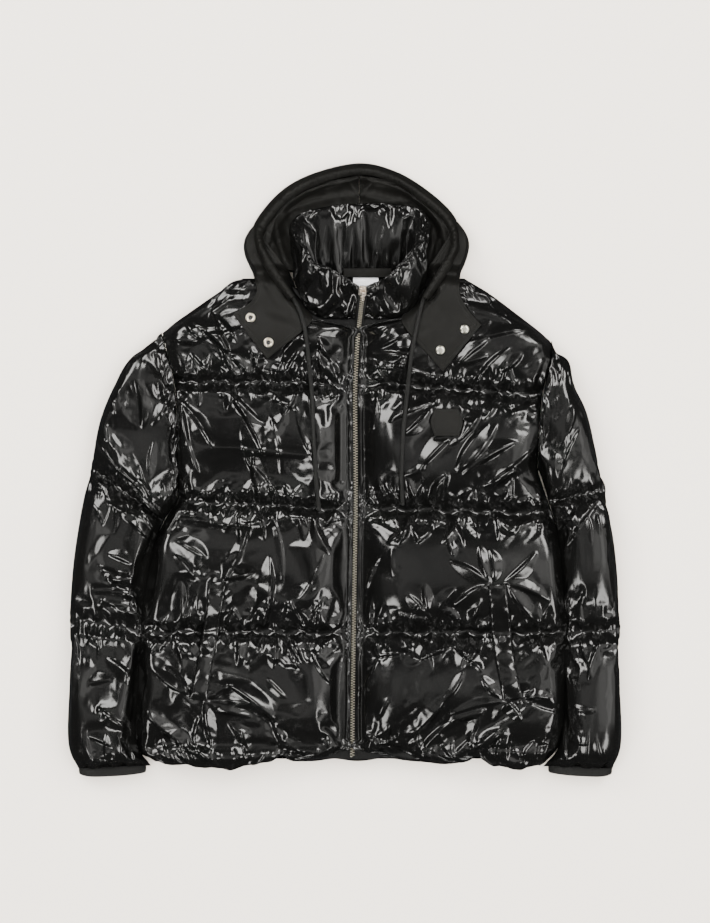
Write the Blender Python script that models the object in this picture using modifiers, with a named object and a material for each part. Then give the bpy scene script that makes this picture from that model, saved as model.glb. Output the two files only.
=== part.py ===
"""Hooded puffer jacket, laid flat on its back and zipped up.

Metres, +Z up. The origin is on the surface that the jacket lies on, under the middle of its
outline. +Y runs to the hood, and +X to the wearer's left. The back lies on the surface, the
fronts lie on the back, and the hood is spread out behind the collar. Tables are in millimetres.
"""
import math

import bpy
import bmesh
import numpy as np
from mathutils import Matrix, Vector
from mathutils.bvhtree import BVHTree

MM = 0.001

# --- driving sizes, in millimetres ------------------------------------------------------------
SEAM_GAP = 0.6            # air between neighbouring pieces
ARMHOLE_GAP = 2.2         # more on the sleeve's side of the curved armhole seam
BACK_TOP = 30.0           # the back panel fills 0 to this height
FRONT_BOTTOM = 30.8       # the fronts lie on the back
SEAM_RISE = 8.0           # thickness of a front where a seam is stitched through it
FRONT_LOFT = 32.0         # how much higher the wadding stands between two seams
BACK_GROOVE = 5.0         # depth of the quilted seams in the underside
NECK_SCOOP = 27.0         # how far the neckline dips into the back panel
SIDE_ROLL = 55.0          # width of the roll along a side seam
ZIP_ROLL = 42.0           # width of the roll next to the zip
SLEEVE_SPLIT = 24.0       # height at which the two halves of a sleeve meet
SLEEVE_LOFT = 28.0
CLOTH = 1.6               # wall of the unpadded hood cloth
CORD_DIAMETER = 6.0
CHAIN_WIDTH = 6.8
CHAIN_HEIGHT = 4.6
STEPS_PER_BAFFLE = 5
SLEEVE_STEPS_PER_BAFFLE = 4
STEPS_ACROSS = 12

# Height on the jacket, and where the side seam or armhole is at that height.
RIGHT_SIDE = (
    # y, x
    (-428, -262), (-418, -296), (-403, -311), (-361, -309), (-322, -304), (-248, -303),
    (-183, -293), (-102, -280), (-42, -243), (20, -242), (80, -243), (118, -246),
    (148, -251), (175, -258), (199, -266), (248, -203), (278, -149), (290, -130),
)
LEFT_SIDE = (
    # y, x
    (-428, 275), (-415, 306), (-393, 318), (-345, 325), (-280, 325), (-225, 327),
    (-167, 322), (-109, 317), (-51, 298), (2, 279), (40, 280), (80, 284), (120, 288),
    (160, 294.5), (186, 301), (226, 254), (260, 206), (281, 170), (290, 152),
)
# Centre line of the zip as it lies on the fronts.
ZIP_LINE = (
    # y, x
    (-430, 11), (-416, 11), (-239, 13), (-54, 16), (109, 15), (180, 18), (212, 21),
)
# The neck edge of each front, above the zip.
RIGHT_NECK = (
    # y, x
    (212, 16), (217, -42), (224, -66), (238, -80), (255, -86), (290, -88),
)
LEFT_NECK = (
    # y, x
    (212, 26), (217, 84), (224, 104), (238, 120), (255, 128), (290, 130),
)
# Quilting seams: height at the zip and at the side. The first row is the hem.
RIGHT_SEAMS = (
    # zip_y, side_y
    (-420, -428), (-236, -233), (-58, -44), (124, 127), (330, 330),
)
LEFT_SEAMS = (
    # zip_y, side_y
    (-420, -424), (-236, -236), (-56, -62), (128, 108), (330, 330),
)
# Notches in the hem, where its cord pulls it up.
HEM_NOTCHES = (
    # x, depth, half_width
    (-92, 13, 9), (60, 5, 25), (193, 9, 10), (-15, 4, 20),
)
# The largest folds in the fronts.
FOLDS = (
    # x, y, angle, length, width, height
    (-182, 205, -50, 95, 17, 7), (-205, 68, -45, 120, 16, 8), (-145, 78, -60, 105, 15, 7),
    (-175, -5, -70, 80, 15, 6), (-45, -95, -55, 95, 16, 7), (-235, -392, -35, 110, 18, 8),
    (-145, -335, -33, 105, 17, 7), (-95, -190, 75, 90, 16, 6), (75, 198, -8, 80, 11, 5),
    (182, 165, 45, 70, 14, 6), (205, 45, 60, 100, 17, 8), (90, 80, 35, 60, 15, 6),
    (130, -200, 30, 110, 17, 8), (95, -130, 70, 90, 15, 6), (150, -375, 20, 130, 18, 7),
    (275, -300, -65, 90, 15, 6),
)
# Sleeves, from under the armhole down to the cuff. A row is a line across the sleeve.
RIGHT_SLEEVE = (
    # outer_x, outer_y, inner_x, inner_y
    (-323, 139, -255, -52), (-352, 80, -262, -62), (-368, 4, -271, -76), (-382, -52, -283, -98),
    (-395, -138, -293, -150), (-399, -215, -305, -233), (-402, -318, -311, -318),
    (-401, -398, -318, -400), (-388, -434, -300, -432),
)
LEFT_SLEEVE = (
    # outer_x, outer_y, inner_x, inner_y
    (332, 128, 288, -6), (356, 80, 294, -22), (379, -28, 304, -48), (389, -75, 318, -92),
    (397, -150, 324, -150), (400, -233, 330, -236), (402, -318, 328, -318),
    (401, -398, 321.5, -398), (390, -434, 302, -431),
)
ARMHOLE_BOTTOM_RIGHT = -42
ARMHOLE_BOTTOM_LEFT = 2
SLEEVE_QUILTED_ROWS = (0, 3, 6, 9)      # counted with the armhole as row 0
# Cuffs: the ends of the band, and how far it reaches below the sleeve.
CUFFS = {
    # outer_x, outer_y, inner_x, inner_y, drop
    "right": (-387, -435.5, -290, -432, 12), "left": (389, -435.5, 297, -432, 12),
}
# The collar, from the zip round the back of the neck and back to the zip.
COLLAR = (
    # base_x, base_y, base_z, rim_x, rim_y, rim_z, half_thickness
    (16.6, 220, 48, 20.6, 270, 84, 6), (-8, 221, 47, -12, 289, 87, 10),
    (-40, 225, 46, -46, 303, 84, 11), (-60, 245, 43, -67, 334, 70, 11),
    (-60, 274, 30, -71, 366, 42, 10), (-30, 274, 25, -24, 381, 32, 9),
    (24, 274, 24, 26, 386, 30, 9), (78, 274, 25, 84, 383, 32, 9),
    (106, 274, 30, 116, 370, 42, 10), (105, 247, 43, 114, 338, 70, 11),
    (84, 227, 46, 93, 310, 84, 11), (58, 221, 47, 60, 284, 87, 10),
    (28.2, 220, 48, 32.2, 270, 84, 6),
)
# The hood, from the wearer's right shoulder over the top to the left shoulder.
HOOD = (
    # rim_x, rim_y, rim_z, line_x, line_y, line_z, dip_x, dip_y, dip_z, inner_x, inner_y, inner_z
    (-133, 297, 56, -118, 298, 60, -102, 297, 52, -92, 297, 54),
    (-148, 329, 40, -131, 326, 46, -110, 318, 30, -90, 308, 34),
    (-131, 359, 28, -116, 350, 36, -100, 342, 18, -86, 330, 20),
    (-94, 405, 22, -84, 390, 30, -76, 380, 12, -60, 330, 7),
    (-46, 432, 20, -41, 415, 29, -37, 401, 9, -30, 310, 6),
    (20.6, 447, 20, 20.6, 430, 28, 20.6, 413, 9, 20.6, 300, 6),
    (21.4, 447, 20, 21.4, 430, 28, 21.4, 413, 9, 21.4, 300, 6),
    (74, 435, 20, 70, 419, 29, 66, 404, 9, 70, 310, 6),
    (122, 406, 22, 113, 391, 30, 108, 381, 12, 98, 330, 7),
    (160, 368, 28, 148, 357, 36, 140, 350, 18, 129, 332, 20),
    (182, 333, 40, 166, 328, 46, 150, 320, 30, 134, 310, 34),
    (169, 297, 56, 156, 298, 60, 144, 297, 52, 134, 297, 54),
)
HOOD_MIDDLE = 6           # rows before this one belong to the right half
# Snap flaps of the hood, lying on the fronts. A row is a line across the flap.
RIGHT_FLAP = (
    # outer_x, outer_y, inner_x, inner_y
    (-124, 288, -91, 280), (-126, 262, -88, 243), (-134, 246, -70, 216), (-148, 235, -66, 197),
    (-162, 225, -114, 161),
)
LEFT_FLAP = (
    # outer_x, outer_y, inner_x, inner_y
    (158, 281, 133, 279), (164, 256, 130, 243), (174, 235, 108, 216), (186, 221, 96, 200),
    (198, 209, 141, 146),
)
# Pocket welts: a row is a line across the welt.
RIGHT_WELT = (
    # left_x, left_y, right_x, right_y
    (-187, -168, -161, -165), (-189, -205, -167, -205), (-196, -247, -174, -247),
    (-202, -290, -181, -290), (-213, -330, -189, -335),
)
LEFT_WELT = (
    # left_x, left_y, right_x, right_y
    (207, -166, 231, -164), (209, -205, 239, -205), (213, -247, 243, -247),
    (220, -290, 249, -290), (229, -332, 257, -329),
)
RING_SNAPS = {"upper": (-136, 220), "lower": (-110, 184)}
CAP_SNAPS = {"upper": (173, 203), "lower": (138, 173)}
WELT_SNAPS = {"right": (-185, -246), "left": (228, -245)}
# Drawcords, from the tunnel's eyelet down over the flap and the front to the bare end.
RIGHT_CORD = (
    # x, y
    (-89, 262), (-75, 241), (-66, 225), (-58, 202), (-53, 170), (-48, 128), (-46, 92),
    (-45, 55), (-43, 20), (-41, -14), (-37, -59),
)
LEFT_CORD = (
    # x, y
    (131, 262), (118, 243), (108, 222), (100, 192), (96, 168), (92, 132), (88, 95), (85, 60),
    (83, 25), (82, -14), (84, -51),
)

COLLECTION = bpy.data.collections.new("puffer_jacket")


# --- helpers ----------------------------------------------------------------------------------
def clear_scene():
    """Remove every object of the scene."""
    for obj in list(bpy.data.objects):
        bpy.data.objects.remove(obj, do_unlink=True)
    bpy.context.scene.collection.children.link(COLLECTION)


def material(name, color, roughness, metallic=0.0):
    """A plain Principled material."""
    mat = bpy.data.materials.new(name)
    mat.use_nodes = True
    shader = mat.node_tree.nodes["Principled BSDF"]
    shader.inputs["Base Color"].default_value = (*color, 1.0)
    shader.inputs["Roughness"].default_value = roughness
    shader.inputs["Metallic"].default_value = metallic
    return mat


def add_object(name, mesh, mat, smooth=True):
    """Link a mesh as a finished sub-part."""
    if smooth:
        mesh.shade_smooth()
    mesh.materials.append(mat)
    obj = bpy.data.objects.new(name, mesh)
    COLLECTION.objects.link(obj)
    return obj


def mesh_from(name, points, faces):
    """A mesh from points in millimetres and index tuples, with its faces pointing out."""
    mesh = bpy.data.meshes.new(name)
    mesh.from_pydata((np.asarray(points) * MM).tolist(), [], faces)
    work = bmesh.new()
    work.from_mesh(mesh)
    bmesh.ops.recalc_face_normals(work, faces=work.faces)
    work.to_mesh(mesh)
    work.free()
    return mesh


def grid_faces(rows, cols, start=0, close_rows=False, close_cols=False):
    """Quads between the points of a grid that is stored row by row."""
    faces = []
    for i in range(rows if close_rows else rows - 1):
        for j in range(cols if close_cols else cols - 1):
            a, b = i * cols, ((i + 1) % rows) * cols
            k, m = j, (j + 1) % cols
            faces.append((start + a + k, start + a + m, start + b + m, start + b + k))
    return faces


def slab(name, top, bottom, mat):
    """A closed solid between two grids of points that share their layout."""
    rows, cols = top.shape[:2]
    count = rows * cols
    faces = grid_faces(rows, cols) + grid_faces(rows, cols, start=count)
    rim = [j for j in range(cols)]
    rim += [i * cols + cols - 1 for i in range(1, rows)]
    rim += [(rows - 1) * cols + j for j in range(cols - 2, -1, -1)]
    rim += [i * cols for i in range(rows - 2, 0, -1)]
    for a, b in zip(rim, rim[1:] + rim[:1]):
        faces.append((a, b, b + count, a + count))
    points = np.concatenate([top.reshape(-1, 3), bottom.reshape(-1, 3)])
    return add_object(name, mesh_from(name, points, faces), mat)


def eased(count):
    """Steps from 0 to 1 that crowd together at both ends."""
    return (1.0 - np.cos(np.linspace(0.0, math.pi, count + 1))) / 2.0


def roll(distance, width):
    """Rise of a padded edge: a quarter ellipse from 0 at the edge to 1 at the given width."""
    t = np.clip(distance / width, 0.0, 1.0)
    return np.sqrt(np.clip(1.0 - (1.0 - t) ** 2, 0.0, 1.0))


def puff(y, seams):
    """Height of the wadding between quilting seams: 0 on a seam and 1 half-way."""
    y, seams = np.asarray(y, float), np.asarray(seams, float)
    index = np.clip(np.searchsorted(seams, y, side="right") - 1, 0, len(seams) - 2)
    s = (y - seams[index]) / (seams[index + 1] - seams[index])
    return np.clip(1.0 - (2.0 * s - 1.0) ** 2, 0.0, 1.0) ** 0.45


def curve_through(points, per_span):
    """A smooth Catmull-Rom curve through the points, as an array."""
    p = np.asarray(points, float)
    p = np.vstack([2 * p[0] - p[1], p, 2 * p[-1] - p[-2]])
    t = np.linspace(0.0, 1.0, per_span, endpoint=False)[:, None]
    out = []
    for a, b, c, d in zip(p, p[1:], p[2:], p[3:]):
        out.append(0.5 * ((2 * b) + (c - a) * t + (2 * a - 5 * b + 4 * c - d) * t ** 2
                          + (3 * b - a - 3 * c + d) * t ** 3))
    return np.vstack(out + [p[-2:-1]])


def look_up(table, y):
    """Value at a height, read from a (y, value) table."""
    data = np.asarray(table, float)
    return np.interp(y, data[:, 0], data[:, 1])


# --- body panels ------------------------------------------------------------------------------
def fold_height(x, y):
    """The largest folds, each a soft ridge along its own direction."""
    z = np.zeros_like(x)
    for fx, fy, angle, length, width, height in FOLDS:
        c, s = math.cos(math.radians(angle)), math.sin(math.radians(angle))
        along = (x - fx) * c + (y - fy) * s
        across = -(x - fx) * s + (y - fy) * c
        z += height * np.exp(-(across / width) ** 2 - (2.0 * along / length) ** 4)
    return z


def hem_lift(x):
    """How far the hem is pulled up at its notches."""
    return sum(depth * np.exp(-((x - at) / half) ** 2) for at, depth, half in HEM_NOTCHES)


def front_grid(side, seams, neck, hand):
    """Top and bottom points of one front. hand is -1 for the right front, +1 for the left."""
    rows = [seams[0][0]]
    for low, high in zip(seams, seams[1:]):
        rows += list(low[0] + (high[0] - low[0]) * eased(STEPS_PER_BAFFLE)[1:])
    rows = np.array([y for y in rows if y < 286.0] + [289.0])
    zip_y = [row[0] for row in seams]
    slant_at = [row[1] - row[0] for row in seams]
    shoulder = np.interp(table_shoulder(side), np.add(zip_y, slant_at), zip_y)
    rows = np.sort(np.append(rows, [shoulder, neck[0][0], neck[1][0] + 1.0]))
    slant = np.interp(rows, zip_y, slant_at)[:, None]
    u = eased(STEPS_ACROSS)[None, :]
    edge = look_up(side, rows[:, None] + slant) - hand * SEAM_GAP
    centre = look_up(ZIP_LINE, rows) + hand * (CHAIN_WIDTH / 2 + SEAM_GAP)
    centre = np.where(rows > 212.0, look_up(neck, rows), centre)[:, None]
    x = centre + (edge - centre) * u
    y = rows[:, None] + slant * u
    y[0] += hem_lift(x[0])
    y[1] += 0.5 * hem_lift(x[1])
    height = puff(rows, zip_y)[:, None]
    sides = roll(np.abs(x - edge), SIDE_ROLL)
    middle = roll(np.abs(x - centre), ZIP_ROLL)
    free_hem = roll(rows - rows[0], 30.0)[:, None]
    loft = (0.16 + 0.84 * height) * FRONT_LOFT * sides * middle
    rise = SEAM_RISE * (0.35 + 0.65 * sides) * (0.4 + 0.6 * free_hem)
    z = FRONT_BOTTOM + rise + loft + fold_height(x, y) * sides * middle * np.sqrt(height)
    return np.stack([x, y, z], -1), np.stack([x, y, np.full_like(x, FRONT_BOTTOM)], -1)


def back_grid():
    """Top and bottom points of the back panel, rounded up along its sides and hem."""
    seams = [row[0] for row in RIGHT_SEAMS]
    rows = [seams[0] - 4.0]
    for low, high in zip(seams, seams[1:]):
        rows += list(low + (high - low) * eased(STEPS_PER_BAFFLE)[1:])
    rows = [y for y in rows if y < 274.0] + [280.0]
    rows = np.sort(rows + [table_shoulder(RIGHT_SIDE), table_shoulder(LEFT_SIDE)])
    u = eased(14)[None, :]
    right = look_up(RIGHT_SIDE, rows)[:, None] + SEAM_GAP
    left = look_up(LEFT_SIDE, rows)[:, None] - SEAM_GAP
    x = right + (left - right) * u
    y = np.repeat(rows[:, None], x.shape[1], axis=1)
    y[0] += hem_lift(x[0])
    scoop = NECK_SCOOP * np.exp(-((x - 22.0) / 98.0) ** 8)
    y -= scoop * np.clip((rows[:, None] - 190.0) / 90.0, 0.0, 1.0) ** 2
    free = np.where(rows < -40.0, 1.0, 0.25)[:, None]
    side = roll(np.minimum(x - right, left - x), SIDE_ROLL)
    hem = roll(rows - rows[0], 30.0)[:, None]
    groove = BACK_GROOVE * (1.0 - puff(rows, seams)[:, None] ** 0.5)
    low = (BACK_TOP - 4.0) * free * (1.0 - side) + 12.0 * (1.0 - hem) + groove
    low = np.minimum(low, BACK_TOP - 3.0)
    return np.stack([x, y, np.full_like(x, BACK_TOP)], -1), np.stack([x, y, low], -1)


# --- sleeves ----------------------------------------------------------------------------------
def sleeve_grid(table, side, armhole_bottom, hand, steps_across):
    """Points across a sleeve and a 0 to 1 puff for each row, from the armhole to the cuff."""
    u = eased(steps_across)
    shoulder = table_shoulder(side)
    arm_y = shoulder + (armhole_bottom - shoulder) * u
    arm_x = look_up(side, arm_y) + hand * ARMHOLE_GAP
    sections = [np.stack([arm_x, arm_y], -1)]
    for outer_x, outer_y, inner_x, inner_y in table:
        outer, inner = np.array([outer_x, outer_y]), np.array([inner_x, inner_y])
        sections.append(outer + (inner - outer) * u[:, None])
    sections = np.array(sections)
    stations = np.array(SLEEVE_QUILTED_ROWS, float)
    rows = [0.0]
    for low, high in zip(stations, stations[1:]):
        rows += list(low + (high - low) * eased(SLEEVE_STEPS_PER_BAFFLE)[1:])
    rows = np.array(rows)
    low = np.floor(rows).astype(int).clip(0, len(sections) - 2)
    t = (rows - low)[:, None, None]
    padded = np.concatenate([2 * sections[:1] - sections[1:2], sections,
                             2 * sections[-1:] - sections[-2:-1]])
    a, b, c, d = (padded[low + k] for k in range(4))
    flat = 0.5 * (2 * b + (c - a) * t + (2 * a - 5 * b + 4 * c - d) * t ** 2
                  + (3 * b - a - 3 * c + d) * t ** 3)
    linear = b + (c - b) * t
    flat = np.where(low[:, None, None] == 0, linear, flat)
    return flat, puff(rows, stations)


def table_shoulder(side):
    """Height of the shoulder point: where the side table reaches furthest out, above the chest."""
    upper = [(y, x) for y, x in side if y > 100]
    return max(upper, key=lambda row: abs(row[1]))[0]


def sleeve_halves(name, table, side, armhole_bottom, hand, mat):
    """The upper and the under half of one sleeve."""
    flat, height = sleeve_grid(table, side, armhole_bottom, hand, 8)
    width = np.linalg.norm(flat[:, -1] - flat[:, 0], axis=1)[:, None]
    along = np.linalg.norm(flat - flat[:, :1], axis=2)
    edge = roll(np.minimum(along, width - along), np.minimum(42.0, 0.45 * width))
    seam_in = np.exp(-(np.arange(len(flat))[:, None] / 2.0) ** 2)
    edge = np.maximum(edge, 0.0) * (1.0 - 0.35 * seam_in) + 0.35 * seam_in
    height = height[:, None]
    top = 3.0 + edge * (9.0 + SLEEVE_LOFT * (0.14 + 0.86 * height))
    floor = SLEEVE_SPLIT - 3.0
    low = floor * (1.0 - edge) + 3.0 * (1.0 - height ** 0.5)

    def grid(z):
        return np.concatenate([flat, z[..., None]], -1)

    level = np.full(top.shape, SLEEVE_SPLIT + SEAM_GAP)
    slab(f"sleeve_{name}_upper", grid(level + top), grid(level), mat)
    flat_top = np.full(top.shape, SLEEVE_SPLIT)
    slab(f"sleeve_{name}_under", grid(flat_top), grid(np.minimum(low, SLEEVE_SPLIT - 2.5)), mat)


def cuff(name, mat):
    """The cuff: a flattened ring of doubled cloth, open inside."""
    outer_x, outer_y, inner_x, inner_y, drop = CUFFS[name]
    start, end = np.array([outer_x, outer_y]), np.array([inner_x, inner_y])
    width = np.linalg.norm(end - start)
    across = (end - start) / width
    down = np.array([0.0, -1.0])
    angles = np.linspace(0.0, 2.0 * math.pi, 24, endpoint=False)
    rings = []
    for inset, lower in ((0.0, 0.0), (0.0, drop), (2.6, drop), (2.6, 0.0)):
        half, tall = width / 2.0 - inset, 13.0 - inset
        c = np.sign(np.cos(angles)) * np.abs(np.cos(angles)) ** 0.6
        s = np.sign(np.sin(angles)) * np.abs(np.sin(angles)) ** 0.8
        flat = start + np.outer(width / 2.0 + half * c, across)
        flat = flat + np.outer(lower - 4.0 * np.abs(c) ** 3 * (lower > 0), down)
        rings.append(np.concatenate([flat, (20.0 + tall * s)[:, None]], -1))
    points = np.concatenate(rings)
    faces = grid_faces(4, len(angles), close_rows=True, close_cols=True)
    return add_object(f"cuff_{name}", mesh_from(f"cuff_{name}", points, faces), mat)


# --- collar and hood --------------------------------------------------------------------------
def collar_sections(per_row):
    """Base, rim and half thickness along the collar, as smooth curves through its table."""
    data = curve_through(COLLAR, per_row)
    return data[:, :3], data[:, 3:6], data[:, 6]


def collar_wall(mat):
    """The padded collar: a rounded wall section carried round the neck."""
    base, rim, half = collar_sections(2)
    axis = rim - base
    tangent = np.gradient((base + rim) / 2.0, axis=0)
    outward = np.cross(tangent, axis)
    outward /= np.linalg.norm(outward, axis=1)[:, None]
    angles = np.linspace(0.0, 2.0 * math.pi, 14, endpoint=False)
    c = np.sign(np.cos(angles)) * np.abs(np.cos(angles)) ** 0.85
    s = np.sign(np.sin(angles)) * np.abs(np.sin(angles)) ** 0.7
    centre = (base + rim) / 2.0
    ring = (centre[:, None] + axis[:, None] * 0.5 * c[None, :, None]
            + outward[:, None] * (half[:, None] * s[None, :])[..., None])
    rows, cols = ring.shape[:2]
    faces = grid_faces(rows, cols, close_cols=True)
    faces.append(tuple(range(cols)))
    faces.append(tuple((rows - 1) * cols + j for j in range(cols - 1, -1, -1)))
    mesh = mesh_from("collar", ring.reshape(-1, 3), faces)
    return add_object("collar", mesh, mat)


def hood_profiles(first, last):
    """Points of the hood's named lines for a stretch of its rows."""
    rows = curve_through(HOOD[first:last], 2)
    return (rows[:, 0:3], rows[:, 3:6], rows[:, 6:9], rows[:, 9:12])


def inward(rim, line, distance):
    """Step from the rim towards the tunnel's inner line, level with the surface."""
    step = (line - rim) * np.array([1.0, 1.0, 0.0])
    step /= np.linalg.norm(step, axis=1)[:, None]
    return rim + step * distance


def thin_sheet(name, grid, mat, thickness=CLOTH):
    """An open grid of points given a wall with Solidify, centred on the grid."""
    rows, cols = grid.shape[:2]
    mesh = mesh_from(name, grid.reshape(-1, 3), grid_faces(rows, cols))
    obj = add_object(name, mesh, mat)
    wall = obj.modifiers.new("wall", "SOLIDIFY")
    wall.thickness = thickness * MM
    wall.offset = 0.0
    return obj


def hood_half(name, first, last, mat):
    """Lining from the tunnel down to the neck, folded back under itself as the outer layer."""
    rim, line, dip, inner = hood_profiles(first, last)
    floor = CLOTH / 2.0 + 0.1
    under = inner * np.array([1.0, 1.0, 0.0]) + np.array([0.0, 0.0, floor])
    outer = inward(rim, line, 13.0) * np.array([1.0, 1.0, 0.0]) + np.array([0.0, 0.0, floor])
    start = line + (dip - line) * 0.04
    middle = (line + dip) / 2.0
    turn = (inner + under) / 2.0
    strips = [start, middle, dip, (dip * 0.6 + inner * 0.4), inner, turn, under,
              (under + outer) / 2.0, outer]
    return thin_sheet(name, np.stack(strips, 1), mat)


def hood_tunnel(mat):
    """The drawcord tunnel: a soft roll round the face edge of the hood."""
    right = [np.array(row, float) for row in HOOD[:HOOD_MIDDLE]]
    left = [np.array(row, float) for row in HOOD[HOOD_MIDDLE + 1:]]
    rows = curve_through(right + left, 2)
    rim, line = rows[:, 0:3], rows[:, 3:6]
    floor = np.array([0.0, 0.0, CLOTH / 2.0 + 0.1])
    level = np.array([1.0, 1.0, 0.0])
    foot = inward(rim, line, 11.8) * level + floor
    heel = inward(rim, line, 3.0) * level + floor + np.array([0.0, 0.0, 1.5])
    side = rim * level + floor + (rim * np.array([0.0, 0.0, 0.55]))
    crest = (rim + line) / 2.0
    crest[:, 2] = np.maximum(rim[:, 2], line[:, 2]) + 3.0
    lip = line - (line - rim) * 0.06
    return thin_sheet("hood_tunnel", np.stack([foot, heel, side, crest, lip], 1), mat)


# --- pieces that lie on other pieces ----------------------------------------------------------
class Ground:
    """Heights of the finished pieces, for laying others on them."""

    def __init__(self, objects, ceiling=500.0):
        self.ceiling = ceiling
        bpy.context.view_layer.update()
        graph = bpy.context.evaluated_depsgraph_get()
        self.trees = [BVHTree.FromObject(obj, graph) for obj in objects]

    def height(self, x, y, reach=0.0):
        """Highest surface below the ceiling, in millimetres, within reach of a point."""
        offsets = [(0.0, 0.0)]
        if reach:
            ring = [k * math.pi / 4.0 for k in range(8)]
            offsets += [(reach * math.cos(a), reach * math.sin(a)) for a in ring]
        best = 0.0
        for dx, dy in offsets:
            start = Vector((x + dx, y + dy, self.ceiling)) * MM
            for tree in self.trees:
                hit = tree.ray_cast(start, Vector((0.0, 0.0, -1.0)))[0]
                if hit is not None:
                    best = max(best, hit.z / MM)
        return best

    def drape(self, flat, clearance, reach):
        """Heights for a grid of flat points, so that a sheet lies clear of what is under it."""
        rows, cols = flat.shape[:2]
        z = [self.height(x, y, reach) for x, y in flat.reshape(-1, 2)]
        return np.array(z).reshape(rows, cols) + clearance


def strip_grid(table, steps, across):
    """Flat points of a strip: smooth along its table, straight across each row."""
    rows = curve_through(table, steps)
    u = np.linspace(0.0, 1.0, across)[None, :, None]
    return rows[:, None, 0:2] + (rows[:, None, 2:4] - rows[:, None, 0:2]) * u


def lay_strip(name, table, ground, mat, thickness, clearance, crown=0.0, steps=3, across=5):
    """A strip that lies on the pieces below it, crowned in the middle if it is padded."""
    flat = strip_grid(table, steps, across)
    low = ground.drape(flat, clearance, 6.0)
    u = np.linspace(-1.0, 1.0, across)[None, :]
    high = low + thickness + crown * (1.0 - u ** 2)
    top = np.concatenate([flat, high[..., None]], -1)
    bottom = np.concatenate([flat, low[..., None]], -1)
    return slab(name, top, bottom, mat)


def turned(name, profile, at, mat, steps=24):
    """A turned piece: its (radius, height) profile spun round Z with a Screw modifier."""
    mesh = bpy.data.meshes.new(name)
    points = [(r * MM, 0.0, z * MM) for r, z in profile]
    edges = [(i, i + 1) for i in range(len(points) - 1)]
    if profile[0][0] > 0.0:
        edges.append((len(points) - 1, 0))
    mesh.from_pydata(points, edges, [])
    mesh.materials.append(mat)
    obj = bpy.data.objects.new(name, mesh)
    COLLECTION.objects.link(obj)
    spin = obj.modifiers.new("turn", "SCREW")
    spin.steps = spin.render_steps = steps
    spin.use_merge_vertices = True
    spin.merge_threshold = 0.00005
    spin.use_smooth_shade = True
    obj.location = Vector(at) * MM
    return obj


def cord(name, table, ground, mat):
    """A drawcord: a round tube along a smooth route that lies on the jacket."""
    route = curve_through(table, 12)
    lift = CORD_DIAMETER / 2.0 + 0.9
    z = np.array([ground.height(x, y, CORD_DIAMETER) for x, y in route]) + lift
    for _ in range(6):
        z = np.maximum(z, np.convolve(np.pad(z, 2, "edge"), np.ones(5) / 5.0, "valid"))
    route = np.concatenate([route, z[:, None]], -1)
    gaps = np.linalg.norm(np.diff(route, axis=0), axis=1)
    length = np.concatenate([[0.0], np.cumsum(gaps)])
    count = int(length[-1] / (2.2 * CORD_DIAMETER))
    even = np.linspace(0.0, length[-1], count + 1)
    route = np.stack([np.interp(even, length, route[:, k]) for k in range(3)], -1)
    curve = bpy.data.curves.new(name, "CURVE")
    curve.dimensions = "3D"
    curve.bevel_depth = CORD_DIAMETER / 2.0 * MM
    curve.bevel_resolution = 2
    curve.use_fill_caps = True
    spline = curve.splines.new("POLY")
    spline.points.add(len(route) - 1)
    for point, place in zip(spline.points, route):
        point.co = (*(place * MM), 1.0)
    curve.materials.append(mat)
    obj = bpy.data.objects.new(name, curve)
    COLLECTION.objects.link(obj)
    return obj


# --- zip --------------------------------------------------------------------------------------
ZIP_SLOPE = math.radians(35.8)       # the chain climbs the collar at this angle
CHAIN_ON_COLLAR = (
    # x, y, z of the chain's outer face on the collar
    (21.6, 217, 47.5), (22.4, 224, 57), (24.2, 238, 69.5), (25.6, 250, 78),
)
CHAIN_TOP = FRONT_BOTTOM + 6.6
SLIDER_AT = (26.4, 258.5, 84.5)      # middle of the slider
HINGE_AT = (26.4, 255.2, 87.3)       # pin of the pull tab


def zip_path():
    """Outer face of the chain, from the bottom stop to under the slider."""
    low = [(look_up(ZIP_LINE, y), y, CHAIN_TOP) for y in (-416, -330, -239, -150, -54, 30, 109, 160)]
    low += [(look_up(ZIP_LINE, y), y, CHAIN_TOP + 0.4) for y in (190, 206)]
    return curve_through(low + list(CHAIN_ON_COLLAR), 3)


def zip_half(name, hand, mat):
    """One half of the chain: a narrow bar along the path, standing for its teeth and tape."""
    path = zip_path()
    tangent = np.gradient(path, axis=0)
    tangent /= np.linalg.norm(tangent, axis=1)[:, None]
    across = np.cross(tangent, (0.0, 0.0, 1.0))
    across /= np.linalg.norm(across, axis=1)[:, None]
    up = np.cross(across, tangent)
    near, far = hand * 0.2, hand * (CHAIN_WIDTH / 2.0 - 0.1)
    corners = ((near, 0.0), (far, -0.4), (far, -CHAIN_HEIGHT), (near, -CHAIN_HEIGHT))
    ring = np.stack([path + across * a + up * b for a, b in corners], 1)
    rows, cols = ring.shape[:2]
    faces = grid_faces(rows, cols, close_cols=True)
    faces.append(tuple(range(cols)))
    faces.append(tuple((rows - 1) * cols + j for j in range(cols - 1, -1, -1)))
    return add_object(name, mesh_from(name, ring.reshape(-1, 3), faces), mat, smooth=False)


def box(name, size, centre, slope, mat, bevel=0.5):
    """A block with rounded edges, tilted up the slope about X."""
    mesh = bpy.data.meshes.new(name)
    work = bmesh.new()
    bmesh.ops.create_cube(work, size=1.0)
    bmesh.ops.scale(work, vec=Vector(size) * MM, verts=work.verts)
    work.to_mesh(mesh)
    work.free()
    mesh.materials.append(mat)
    obj = bpy.data.objects.new(name, mesh)
    COLLECTION.objects.link(obj)
    obj.location = Vector(centre) * MM
    obj.rotation_euler = (slope, 0.0, 0.0)
    soft = obj.modifiers.new("edges", "BEVEL")
    soft.width = bevel * MM
    soft.segments = 2
    return obj


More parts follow.
